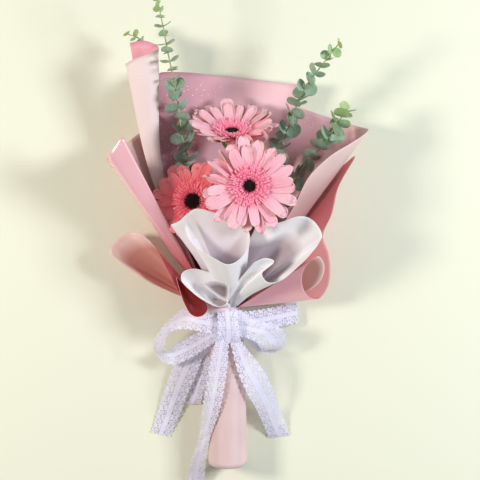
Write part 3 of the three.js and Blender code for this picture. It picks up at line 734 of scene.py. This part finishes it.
def bloom(name, diameter, place, facing, cup_degrees, bundle_angle, knee, seed, petals=18, width=13.0, droop=0.0,
          face=PETAL_FACE, frill=FRILL, eye_radius=EYE_RADIUS, rolled=None):
    """A whole gerbera. cup_degrees is how far the rays rise, knee is where the stem leaves the bundle, and
    rolled is (from, to, turn): the outer rays between those angles turn over by that much."""
    cup = math.radians(cup_degrees)
    turn_to, place = facing_matrix(facing), np.array(place, float)
    axis = turn_to[:, 2]
    settle = lambda p: p @ turn_to.T + place
    radius = diameter / 2
    for label, count, reach, rise, wide, more in (
        ("outer_rays", petals, radius, 0.6, width, 0),
        ("inner_rays", petals - 3, radius * 0.88, 2.4, width * 0.9, 7),
    ):
        turned = np.zeros(count)
        if rolled and not more:
            own_angle = (0.13 * more + 2 * np.pi * np.arange(count) / count) % (2 * np.pi)
            low, high, amount = rolled
            turned = np.where((own_angle > math.radians(low)) & (own_angle < math.radians(high)), amount, 0.0)
        points, marks = rays(count, eye_radius + 1.5, reach, wide, rise, cup, seed + more, turn=0.13 * more,
                             droop=droop, rolled=turned)
        n, rows, columns = points.shape[:3]
        obj = piece(f"{name}_{label}", settle(points), grid_faces(rows, columns, n), [PETAL_BACK, face],
                    f"{name}_bloom_{label}")
        store(obj, "on_petal", marks)
        thicken(obj, 0.22, 1)
    frill_points, frill_marks = [], []
    rings = [(58, 9.5, FRILL_RADIUS + 2, 3.4, 1.7, 0.10), (54, 8.5, FRILL_RADIUS - 1.5, 4.2, 1.5, 0.22),
             (48, 7.8, FRILL_RADIUS - 5, 4.8, 1.3, 0.38), (42, 6.3, FRILL_RADIUS - 8.5, 5.4, 1.1, 0.62)]
    for ring, (count, start, end, rise, wide, steep) in enumerate(rings):
        start = start + eye_radius - EYE_RADIUS
        points, marks = rays(count, start, end, wide, rise, cup + steep, seed + 20 + ring, turn=0.4 * ring,
                             rows=7, columns=3, curl=0.4, droop=-2.0, wild=1.2, spread=0.45)
        points[..., 2] += (math.sin(cup) - math.sin(cup + steep)) * start
        frill_points.append(points.reshape(-1, 3))
        frill_marks.append(marks.reshape(-1, 3))
    total = sum(len(p) for p in frill_points) // (7 * 3)
    obj = piece(f"{name}_frill", settle(np.concatenate(frill_points)), grid_faces(7, 3, total), [frill],
                f"{name}_bloom_frill")
    store(obj, "on_petal", np.concatenate(frill_marks))
    thicken(obj, 0.3)
    eye(name, settle, math.sin(cup) * eye_radius, seed, eye_radius)
    calyx(name, settle, math.sin(cup), seed)
    foot = place - axis * (CALYX_DEPTH - 2)
    route = np.array([*in_bundle(STEM_RING, bundle_angle, STEM_END), knee, foot - axis * 12, foot], float)
    path = spline(route, np.linspace(0, 1, 90))
    skin = tube(path, STEM_RADIUS * np.linspace(1.0, 0.86, 90))
    piece(f"{name}_stem", skin, grid_faces(*skin.shape[:2], closed=True), [STEM], f"{name}_bloom_stem")


# %% [markdown]
# The dark eye is a low dome of closed florets, packed in the spiral that sunflowers use: each next one turns by
# the golden angle. Those near its rim are open and show pale tips.

# %% Eye and calyx
def eye(name, settle, base, seed, eye_radius):
    """Small knobs on a dome: floret k sits at radius sqrt(k) and golden angle times k."""
    count, pale_share = 150, 0.5
    k = np.arange(count)
    r = (eye_radius - 0.4) * np.sqrt((k + 0.5) / count)
    a = k * GOLDEN_ANGLE
    up = base + 4.6 + 1.9 * (1 - (r / eye_radius) ** 2)
    ring = np.linspace(0, 2 * np.pi, 8)[:-1]
    knob = np.array([[1.0, 0.0], [1.1, 0.5], [0.75, 1.0], [0.05, 1.15]])
    open_floret = r > eye_radius * 0.86
    rng = np.random.default_rng(seed + 90)
    size = (0.46 * rng.uniform(0.8, 1.3, count))[:, None, None]
    tall = (np.where(open_floret, 2.6, 2.0) * rng.uniform(0.8, 1.5, count))[:, None, None]
    x = r[:, None, None] * np.cos(a)[:, None, None] + size * knob[None, :, 0, None] * np.cos(ring)
    y = r[:, None, None] * np.sin(a)[:, None, None] + size * knob[None, :, 0, None] * np.sin(ring)
    z = np.broadcast_to(up[:, None, None] + tall * (knob[None, :, 1, None] - 0.6), x.shape)
    knobs = np.stack([x, y, z], -1)
    faces = grid_faces(4, 7, count, closed=True)
    each = len(faces) // count
    upper_half = np.tile(np.arange(each), count) >= 14
    pale = np.repeat(open_floret & (rng.uniform(0, 1, count) < pale_share), each) & upper_half
    dome_r = np.array([eye_radius - 0.2, eye_radius - 0.2, eye_radius * 0.7, 0.1])[:, None]
    dome_z = base + np.array([0.2, 4.4, 5.6, 6.2])[:, None]
    turn_round = np.linspace(0, 2 * np.pi, 25)[:-1]
    dome = np.stack(np.broadcast_arrays(
        dome_r * np.cos(turn_round), dome_r * np.sin(turn_round), dome_z), -1)
    dome_faces = grid_faces(4, 24, closed=True) + knobs.size // 3
    points = np.concatenate([knobs.reshape(-1, 3), dome.reshape(-1, 3)])
    marks = np.concatenate([pale.astype(int), np.zeros(len(dome_faces), int)])
    piece(f"{name}_eye", settle(points), np.concatenate([faces, dome_faces]), [EYE_DARK, EYE_TIP],
          f"{name}_bloom_eye", face_material=marks)


def calyx(name, settle, slope, seed):
    """A cup turned on the bloom's axis, with three rows of narrow pointed bracts lying on it."""
    cup_r = spline(np.array([[3.2, -15, 0], [6.5, -12.5, 0], [9.6, -8, 0], [11.6, -1, 0]]), np.linspace(0, 1, 14))
    t = np.linspace(0, 2 * np.pi, 33)[:-1]
    top = cup_r[-1, 1] + slope * 12
    r = np.concatenate([[0.1], cup_r[:, 0], [0.1]])[:, None]
    z = np.concatenate([[-15], cup_r[:, 1] + np.linspace(0, slope * 12, 14), [top - 1]])[:, None]
    cup = np.stack([r * np.cos(t), -r * np.sin(t), np.broadcast_to(z, (16, 32))], -1)
    points, faces = [cup.reshape(-1, 3)], [grid_faces(16, 32, closed=True)]
    rng = np.random.default_rng(seed + 50)
    s, w = np.linspace(0, 1, 7)[:, None], np.linspace(-1, 1, 4)[None]
    for row, (low, high) in enumerate([(0.0, 0.55), (0.22, 0.8), (0.45, 1.05)]):
        for k in range(18):
            angle = 2 * np.pi * (k + 0.5 * row) / 18 + rng.uniform(-0.06, 0.06)
            along = low + (high - low) * s
            rr = np.interp(along, np.linspace(0, 1, 14), cup_r[:, 0]) + 0.35 + 0.9 * s**3
            zz = np.interp(along, np.linspace(0, 1, 14), cup_r[:, 1] + np.linspace(0, slope * 12, 14))
            spread = w * 1.5 * np.sqrt(np.clip(1 - s**2.2, 0.0, 1)) / rr
            blade = np.stack(np.broadcast_arrays(
                rr * np.cos(angle + spread), rr * np.sin(angle + spread), zz), -1)
            faces.append(grid_faces(7, 4) + sum(len(p) for p in points))
            points.append(blade.reshape(-1, 3))
    piece(f"{name}_calyx", settle(np.concatenate(points)), np.concatenate(faces), [BRACT],
          f"{name}_bloom_calyx")


# %% [markdown]
# Two blooms are soft pink and the third is a deeper coral. Each faces its own way, and a few outer rays are
# rolled so that their warmer backs show.

# %% The three blooms
bloom("front", 105, [25, 128, 100], [0.02, -0.04, 1], 9, 30, [10, 60, 44], seed=11, petals=19, width=13.0,
      droop=0.6, rolled=(120, 178, 1.3))
bloom("top", 102, [7.5, 178, 55], [0, 0.85, 0.53], 20, 150, [2, 80, 20], seed=42, petals=18, width=13.0,
      eye_radius=7.6, rolled=(275, 335, 1.5))
bloom("left", 88, [-32, 113, 52], [-0.12, 0.04, 0.99], 8, 270, [-13, 50, 26], seed=73, petals=17, width=13.0,
      face=DEEP_FACE, frill=DEEP_FRILL, eye_radius=8.3)
print("blooms made")

# %% [markdown]
# Green florist's tape binds the stems inside the handle. It is a plain sleeve, and shows only from the open
# end.

# %% Binding tape
tape_low, tape_high = (np.array(c) * 1000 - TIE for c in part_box("binding_tape"))
tape_turn = np.linspace(0, 2 * np.pi, 65)[:-1]
tape_rows = np.linspace(tape_low[1], tape_high[1], 13)[:, None]
tape_radius = (tape_high[0] - tape_low[0]) / 2 - 0.4
tape_grid = np.stack(np.broadcast_arrays(
    tape_radius * np.sin(tape_turn), tape_rows, TIE_HEIGHT + tape_radius * np.cos(tape_turn)), -1)
TAPE = plain_material("florist_tape", rgb(168, 182, 132), rgb(146, 162, 108), 120, 1200, 0.7)
tape = piece("florist_tape", tape_grid[::-1], grid_faces(13, 64, closed=True), [TAPE], "binding_tape")
thicken(tape, 0.5)
print("tape radius", round(float(tape_radius), 2))

# %% [markdown]
# ## Eucalyptus
# The twigs carry round leaves in pairs, each pair turned against the last, small and yellow-green at the tip
# and large and blue-green lower down. A leaf is a polar grid pulled in a little at its base, cupped, with its
# rim rippled.

# %% Leaf material
def leaf_material():
    """Green by the share of the way up the twig, with a pale waxy bloom in patches and fine radial veins."""
    material, tree, shader = new_material("eucalyptus_leaf")
    _, parts = stored(tree, "on_leaf")
    along = ramp(tree, parts[2], [
        (0.0, rgb(84, 108, 96)), (0.5, rgb(122, 152, 134)), (0.82, rgb(140, 172, 140)),
        (0.93, rgb(148, 180, 116)), (1.0, rgb(166, 194, 96))])
    clouds, fibres = mottle(tree, 150.0, 1500.0)
    waxy = maths(tree, "MULTIPLY", share(tree, clouds, 0.4, 0.7), 0.5)
    tone = mix(tree, waxy, along, rgb(184, 206, 194))
    spoke = maths(tree, "COSINE", maths(tree, "MULTIPLY", parts[1], 18.85))
    vein = maths(tree, "POWER", maths(tree, "ABSOLUTE", spoke), 14.0)
    tone = mix(tree, maths(tree, "MULTIPLY", vein, 0.18), tone, rgb(184, 200, 160))
    tree.links.new(tone, shader.inputs["Base Color"])
    tree.links.new(bump(tree, fibres, 0.0001, 0.5), shader.inputs["Normal"])
    set_inputs(shader, Roughness=0.5, Sheen_Weight=0.1)
    return material


LEAF = leaf_material()
TWIG = plain_material("eucalyptus_twig", rgb(178, 188, 142), rgb(150, 160, 112), 80, 1500, 0.6)


def leaf_pairs(start, end, count, smallest, largest, first_turn, twist, rise=35, step=75):
    """Rows of [share of the way up, angle round the twig, radius, twist, rise from it], two to a pair."""
    k = np.arange(count)
    share = start + (end - start) * k / (count - 1)
    size = smallest + (largest - smallest) * np.sqrt(1 - k / (count - 1))
    around = first_turn + step * k
    return np.concatenate([
        np.stack([share, around, size, np.full(count, twist), np.full(count, rise)], -1),
        np.stack([share, around + 180, size * 0.92, np.full(count, -twist), np.full(count, rise)], -1)])


def sprig(name, node_name, ring, angle, points, leaves, seed):
    """A twig tube and its leaves in one mesh. Each leaf is a cupped disc on its own three directions: out
    from the twig, across, and the way its face looks."""
    route = np.array([*in_bundle(ring, angle, SPRIG_END), *points], float)
    path = spline(route, np.linspace(0, 1, 120))
    skin = tube(path, np.linspace(1.6, 0.55, 120), 8)
    fine = spline(np.array(points, float), np.linspace(0, 1, 400))
    run = np.concatenate([[0], np.cumsum(np.linalg.norm(np.diff(fine, axis=0), axis=1))])
    rng = np.random.default_rng(seed)
    n = len(leaves)
    at = np.interp(leaves[:, 0], run / run[-1], np.arange(400))
    spot = np.stack([np.interp(at, np.arange(400), fine[:, c]) for c in range(3)], -1)
    slope = np.gradient(fine, axis=0)
    along = np.stack([np.interp(at, np.arange(400), slope[:, c]) for c in range(3)], -1)
    along /= np.linalg.norm(along, axis=1, keepdims=True)
    side = np.cross([0, 0, 1.0], along)
    side /= np.linalg.norm(side, axis=1, keepdims=True)
    turn_by = np.radians(leaves[:, 1] + rng.uniform(-14, 14, n))[:, None]
    side = side * np.cos(turn_by) + np.cross(along, side) * np.sin(turn_by)
    rise = np.radians(leaves[:, 4] + rng.uniform(-10, 10, n))[:, None]
    out = side * np.cos(rise) + along * np.sin(rise)
    face = np.cross(out, np.cross(along, side))
    face /= np.linalg.norm(face, axis=1, keepdims=True)
    lean = np.radians(leaves[:, 3] + rng.uniform(-14, 14, n))[:, None]
    face = face * np.cos(lean) + np.cross(out, face) * np.sin(lean)
    wide = np.cross(face, out)
    rho = np.linspace(0, 1, 6)[None, :, None]
    phi = np.linspace(0, 2 * np.pi, 19)[None, None, :-1]
    size = leaves[:, 2][:, None, None]
    reach = 1 + 0.05 * np.cos(phi) - 0.05 * np.cos(2 * phi)
    px = size * (0.96 + rho * reach * np.cos(phi))
    py = size * rho * reach * np.sin(phi) * 1.02
    ripple = 0.05 * rho**2 * np.sin(3 * phi + leaves[:, 1][:, None, None])
    pz = size * (0.16 * rho**2 - 0.10 * np.abs(rho * np.sin(phi)) + ripple)
    spot, out, wide, face = (v[:, None, None] for v in (spot, out, wide, face))
    blades = spot + px[..., None] * out + py[..., None] * wide + pz[..., None] * face
    twig_faces = grid_faces(*skin.shape[:2], closed=True)
    leaf_faces = grid_faces(6, 18, n, closed=True) + skin.size // 3
    marks = np.concatenate([
        np.zeros((skin.size // 3, 3)),
        np.stack(np.broadcast_arrays(rho, phi / (2 * np.pi), leaves[:, 0][:, None, None]), -1).reshape(-1, 3)])
    points = np.concatenate([skin.reshape(-1, 3), blades.reshape(-1, 3)])
    obj = piece(name, points, np.concatenate([twig_faces, leaf_faces]), [TWIG, LEAF], node_name,
                face_material=np.repeat([0, 1], [len(twig_faces), len(leaf_faces)]))
    store(obj, "on_leaf", marks)
    print(name, "leaves", n)


OUTER_RING = STEM_RING + SPRIG_GAP
NOTCH_RING = STEM_RING / 2 + math.sqrt(SPRIG_GAP**2 - 0.75 * STEM_RING**2)
sprig("left_tall_eucalyptus", "left_tall_sprig", OUTER_RING, -90, [
    [-21, 50, 29], [-40, 113, 31], [-38, 155, 39], [-43, 180, 45], [-47, 206, 52], [-50, 228, 58], [-54, 247, 64],
    [-58, 266, 71], [-61, 283, 78], [-66, 308, 84], [-68, 318, 84]],
    np.concatenate([leaf_pairs(0.22, 0.34, 3, 9.0, 10.0, 15, 45), leaf_pairs(0.38, 0.66, 8, 6.8, 8.8, 10, 38),
                    leaf_pairs(0.695, 0.93, 8, 4.6, 6.2, 0, 6, 14, 90),
                    leaf_pairs(0.955, 0.995, 3, 3.0, 4.0, 30, 50)]), 1)
sprig("left_back_eucalyptus", "left_back_sprig", NOTCH_RING, 210, [
    [-25, 50, 20], [-66, 138, 32.5], [-78, 205, 38.4], [-84, 250, 38.4], [-87, 280, 38], [-102, 287, 37]],
    leaf_pairs(0.885, 0.99, 4, 3.4, 5.0, 40, 40), 2)
sprig("right_tall_eucalyptus", "right_tall_sprig", NOTCH_RING, 90, [
    [20, 60, 22], [44, 130, 34], [56, 165, 42], [65, 187, 48], [72, 207, 55], [84, 232, 66], [98, 250, 74],
    [117, 274, 82]],
    leaf_pairs(0.26, 0.985, 19, 4.2, 9.6, 20, 34), 3)
sprig("right_small_eucalyptus", "right_small_sprig", OUTER_RING, 30, [
    [28, 50, 36], [58, 112, 44], [82, 150, 50], [102, 172, 58], [113, 189, 66], [125, 207, 72]],
    np.concatenate([leaf_pairs(0.72, 0.985, 7, 6.2, 9.4, 50, 30), leaf_pairs(0.36, 0.66, 6, 6.0, 8.4, 20, 62),
                    leaf_pairs(0.04, 0.14, 2, 7.5, 8.5, 60, 40)]), 4)

# %% [markdown]
# ## Lace bow
# The lace is a ribbon about 20 mm wide: a fine net in the middle, a row of small open flowers along each side
# and scalloped edges. Its holes are far too many to cut as mesh, so the material's alpha opens them, laid out
# in the ribbon's own UV map, where one unit along is one repeat of the flowers. The scallops are real edges of
# the mesh.

# %% Lace material
REPEAT, LACE_WIDTH = 10.5, 20.0


def lace_material():
    """Holes in millimetres on the ribbon: a five-lobed ring and a dot per flower, a dot between flowers, a
    line of pinholes beside each row, and a net of tiny openings over the rest."""
    material, tree, shader = new_material("white_lace")
    ribbon_map = node(tree, "ShaderNodeUVMap", uv_map="ribbon").outputs[0]
    uv = node(tree, "ShaderNodeSeparateXYZ", {0: ribbon_map}).outputs
    across = maths(tree, "MULTIPLY", maths(tree, "ABSOLUTE", maths(tree, "SUBTRACT", uv[1], 0.5)), LACE_WIDTH)
    x = maths(tree, "MULTIPLY", maths(tree, "SUBTRACT", maths(tree, "FRACT", uv[0]), 0.5), REPEAT)
    y = maths(tree, "SUBTRACT", across, 6.2)
    square = lambda value: maths(tree, "MULTIPLY", value, value)
    far = maths(tree, "SQRT", maths(tree, "ADD", square(x), square(y)))
    lobes = maths(tree, "COSINE", maths(tree, "MULTIPLY", maths(tree, "ARCTAN2", y, x), 5.0))
    ring = maths(tree, "ABSOLUTE", maths(tree, "SUBTRACT", far, maths(tree, "MULTIPLY_ADD", lobes, 0.45, 2.6)))
    petal_gap = maths(tree, "GREATER_THAN", lobes, -0.85)
    ring_hole = maths(tree, "MULTIPLY", maths(tree, "LESS_THAN", ring, 0.45), petal_gap)
    heart = maths(tree, "LESS_THAN", far, 0.6)
    between = maths(tree, "SUBTRACT", maths(tree, "ABSOLUTE", x), REPEAT / 2)
    spot = maths(tree, "LESS_THAN", maths(tree, "SQRT", maths(tree, "ADD", square(between), square(y))), 0.8)
    pin_x = maths(tree, "SUBTRACT", maths(tree, "FRACT", maths(tree, "MULTIPLY", uv[0], 5.0)), 0.5)
    pin_y = maths(tree, "MULTIPLY", maths(tree, "SUBTRACT", across, 2.7), 0.6)
    pin = maths(tree, "LESS_THAN", maths(tree, "SQRT", maths(tree, "ADD", square(pin_x), square(pin_y))), 0.26)
    holes = maths(tree, "MAXIMUM", maths(tree, "MAXIMUM", ring_hole, heart), maths(tree, "MAXIMUM", spot, pin))
    net_x = maths(tree, "SINE", maths(tree, "MULTIPLY", uv[0], 2 * math.pi * 9))
    net_y = maths(tree, "SINE", maths(tree, "MULTIPLY", across, 2 * math.pi / 0.95))
    net_hole = maths(tree, "GREATER_THAN", maths(tree, "MULTIPLY", net_x, net_y), 0.45)
    open_net = maths(tree, "MULTIPLY", net_hole, 0.04)
    open_share = maths(tree, "MAXIMUM", maths(tree, "MULTIPLY", holes, 0.85), open_net)
    tree.links.new(maths(tree, "SUBTRACT", 1.0, open_share, clamp=True), shader.inputs["Alpha"])
    clouds, _ = mottle(tree, 30.0, 2600.0)
    thread = ramp(tree, clouds, [(0.3, rgb(228, 226, 252)), (0.7, rgb(239, 237, 255))])
    tree.links.new(thread, shader.inputs["Base Color"])
    cord = maths(tree, "LESS_THAN", maths(tree, "ABSOLUTE", maths(tree, "SUBTRACT", across, 3.6)), 0.3)
    raised = maths(tree, "MAXIMUM", maths(tree, "LESS_THAN", ring, 0.9), cord)
    height = maths(tree, "ADD", maths(tree, "MULTIPLY", maths(tree, "ADD", net_x, net_y), 0.25), raised)
    tree.links.new(bump(tree, height, 0.00025, 0.7), shader.inputs["Normal"])
    set_inputs(shader, Roughness=0.8, Sheen_Weight=0.3)
    return material


LACE = lace_material()
print("lace repeats every", REPEAT, "mm")

# %% [markdown]
# Each length of ribbon is strung between two edge lines, which say where it turns over and how it narrows into
# the knot. Its flat size is what was cut from the roll.

# %% Ribbons
def ribbon(name, node_name, left, right, wide=16, scallop=1.5, crumple=0.35):
    """Ribbon between two edge lines: both edges swing out in scallops half a flower long, and it waves."""
    fine = np.linspace(0, 1, 400)
    a, b = spline(np.array(left, float), fine), spline(np.array(right, float), fine)
    steps = np.linalg.norm(np.diff((a + b) / 2, axis=0), axis=1)
    run = np.concatenate([[0], np.cumsum(steps)])
    along = int(run[-1] / REPEAT * 16) + 1
    at = np.interp(np.linspace(0, run[-1], along + 1), run, fine)
    a, b = spline(np.array(left, float), at), spline(np.array(right, float), at)
    run = np.linspace(0, run[-1], along + 1)
    v = np.linspace(0, 1, wide + 1)[None, :]
    gap = np.linalg.norm(b - a, axis=1)[:, None]
    swing = scallop * np.abs(np.sin(2 * np.pi * run / REPEAT))[:, None]
    v_out = 0.5 + (v - 0.5) * (1 + (2 * swing - scallop) / np.maximum(gap, 4))
    g = a[:, None] * (1 - v_out[..., None]) + b[:, None] * v_out[..., None]
    place = run[:, None]
    slow = np.sin(2 * np.pi * v + place / 13.0) * np.sin(place / 7.0)
    wave = crumple * (slow + 0.5 * np.sin(place / 3.1 + 5 * v))
    g = g + grid_normals(g) * wave[..., None]
    obj = piece(name, g, grid_faces(along + 1, wide + 1), [LACE], node_name)
    layer = obj.data.uv_layers.new(name="ribbon")
    uv = np.stack(np.broadcast_arrays(place / REPEAT, v), -1).reshape(-1, 2)
    loops = np.empty(len(obj.data.loops), np.int32)
    obj.data.loops.foreach_get("vertex_index", loops)
    layer.data.foreach_set("uv", uv[loops].astype(np.float32).ravel())


# %% [markdown]
# The lace goes round the neck and is tied in a bow: a knot, three loops and four tails that fall to the floor.

# %% Band and bow
band_turn = np.linspace(0, 2 * np.pi, 49)
ring_at = lambda y, r: np.stack([r * np.sin(band_turn), np.full(49, y), TIE_HEIGHT + r * np.cos(band_turn)], -1)
ribbon("lace_band_wrap", "lace_band", ring_at(0.5, BAND_OUTER - 0.5), ring_at(-BAND_WIDTH, BAND_OUTER - 0.3),
       crumple=0.25)
ribbon("lace_cross_wrap", None, [
    [-27, -3, 38], [-18, 1, 41], [-6, 3, 43], [6, 3, 43.5], [16, 0, 42], [25, -5, 38]], [
    [-27, -19, 40], [-17, -20, 42.5], [-6, -23, 44], [6, -24, 44.5], [16, -22, 43], [24, -25, 39]],
    crumple=0.5)
ribbon("lace_knot_wrap", "lace_knot", [
    [-7, 3.5, 40], [-7.5, 2, 44.5], [-7, -6, 48.5], [-6, -16, 50], [-7, -26, 48.5], [-9, -33, 45], [-8, -34, 40]],
    [
    [11, 4, 40], [12, 2, 44], [13, -6, 48], [14, -15, 49.5], [15, -25, 48], [15, -32, 44], [14, -33, 40]],
    crumple=0.9)
ribbon("lace_left_loop_ribbon", "lace_left_loop", [
    [6, -9, 45], [-10, -4, 44], [-26, -1, 42], [-40, 3, 39], [-57, -9, 34], [-71, -26, 28], [-74, -40, 23],
    [-68, -50, 19], [-55, -56, 19], [-38, -50, 23], [-22, -40, 32], [-4, -27, 43]], [
    [4, -24, 45], [-12, -23, 44], [-28, -20, 43], [-44, -18, 42], [-57, -22, 40], [-62, -33, 36], [-62, -42, 28],
    [-58, -42, 23], [-50, -35, 22], [-36, -27, 25], [-22, -20, 32], [-4, -14, 42]])
ribbon("lace_right_loop_ribbon", "lace_right_loop", [
    [6, -8, 45], [20, -7, 43], [38, -11, 42], [54, -15, 39], [63, -27, 32], [61, -38, 24], [50, -44, 18],
    [36, -43, 17], [24, -34, 24], [10, -24, 41]], [
    [6, -27, 45], [18, -26, 43], [27, -29, 43], [33, -32, 41], [37, -38, 36], [40, -42, 28], [40, -38, 20],
    [32, -30, 18], [22, -20, 26], [8, -14, 41]])
ribbon("lace_upper_loop_ribbon", "lace_upper_loop", [
    [10, -1, 37], [20, -1, 31], [32, 0, 25], [50, 3, 18], [70, 7, 13], [76, 7.5, 10], [70, 6, 7], [48, 0, 6],
    [24, -5, 6]], [
    [10, -21, 37], [20, -21, 31], [32, -21, 25], [50, -18, 17], [70, -14, 12], [76, -13, 9], [70, -15, 6],
    [48, -20, 5], [24, -24, 5]])
ribbon("lace_left_tail_ribbon", "lace_left_tail", [
    [-14, -20, 38], [-27, -28, 22], [-40, -38, 12], [-52, -56, 8], [-63, -84, 5], [-71, -110, 3], [-77, -128, 2]],
    [
    [-4, -30, 42], [-13, -40, 26], [-23, -48, 17], [-29, -64, 13], [-38, -84, 9], [-48, -110, 4],
    [-58, -133, 1.5]])
ribbon("lace_short_tail_ribbon", "lace_short_tail", [
    [-20, -36, 18], [-27, -52, 8], [-33, -70, 4], [-38, -86, 3], [-43, -99, 2]], [
    [-6, -36, 30], [-13, -50, 17], [-18, -68, 12], [-22, -84, 9], [-26, -98, 6]])
ribbon("lace_middle_tail_ribbon", "lace_middle_tail", [
    [-7, -24, 46], [-10, -34, 45.5], [-16, -60, 43], [-23, -100, 34], [-28, -136, 19], [-36, -160, 10],
    [-40, -180, 5], [-42, -190, 3]], [
    [6, -24, 46], [4, -34, 45.5], [2, -60, 44.5], [-5, -100, 43], [-15, -130, 33], [-20, -158, 17],
    [-22, -180, 8], [-23, -190, 5]])
ribbon("lace_right_tail_ribbon", "lace_right_tail", [
    [2, -23, 46], [6, -33, 45], [14, -63, 43], [24, -86, 38], [32, -100, 26], [39, -116, 12], [47, -134, 2]], [
    [12, -22, 46], [17, -31, 44], [29, -47, 40], [41, -64, 32], [51, -84, 22], [60, -110, 8], [68, -132, 1.5]])

# %% [markdown]
# ## Floor, light and camera
# The bunch lies on a pale sheet. Large soft lamps on both sides give gentle shadows, and a long lens looks
# straight down from far off.

# %% Stage
FLOOR, _, floor_shader = new_material("pale_floor")
set_inputs(floor_shader, Base_Color=rgb(237, 240, 220), Roughness=0.9)
floor_mesh = bpy.data.meshes.new("floor")
floor_mesh.from_pydata([(-3, -3, 0), (3, -3, 0), (3, 3, 0), (-3, 3, 0)], [], [(0, 1, 2, 3)])
floor_mesh.materials.append(FLOOR)
floor = bpy.data.objects.new("floor", floor_mesh)
bpy.context.scene.collection.objects.link(floor)


def lamp(name, place, target, size, power, colour):
    """A square lamp that looks at its target."""
    light = bpy.data.lights.new(name, "AREA")
    light.size, light.energy, light.color = size, power, colour
    obj = bpy.data.objects.new(name, light)
    bpy.context.scene.collection.objects.link(obj)
    obj.location = place
    obj.rotation_euler = (Vector(target) - Vector(place)).to_track_quat("-Z", "Y").to_euler()


LAMP_TARGET = (0, 0.03, 0)
lamp("key", (1.2, 0.25, 1.0), LAMP_TARGET, 0.4, 17.4, (0.95, 1.0, 1.06))
lamp("fill", (-1.15, 0.12, 1.0), LAMP_TARGET, 0.3, 13, (1.0, 0.915, 0.83))
world = bpy.data.worlds.new("studio")
world.use_nodes = True
set_inputs(world.node_tree.nodes["Background"], Color=(1.0, 0.99, 0.96, 1), Strength=0.3)
bpy.context.scene.world = world
bpy.context.scene.view_settings.view_transform = "Standard"

# %% [markdown]
# The camera hangs high above the bunch with a narrow view, so near and far parts keep almost the same scale.

# %% Camera
VIEW_WIDTH, VIEW_HEIGHT = 0.504, 2.4
camera_data = bpy.data.cameras.new("camera")
camera_data.sensor_width = 36
camera_data.lens = 36 * VIEW_HEIGHT / VIEW_WIDTH
camera = bpy.data.objects.new("camera", camera_data)
bpy.context.scene.collection.objects.link(camera)
camera.location = ((TIE[0] + 15.75) / 1000, (TIE[1] + 73.5) / 1000, VIEW_HEIGHT)
bpy.context.scene.camera = camera
print("camera at", [round(v, 3) for v in camera.location])
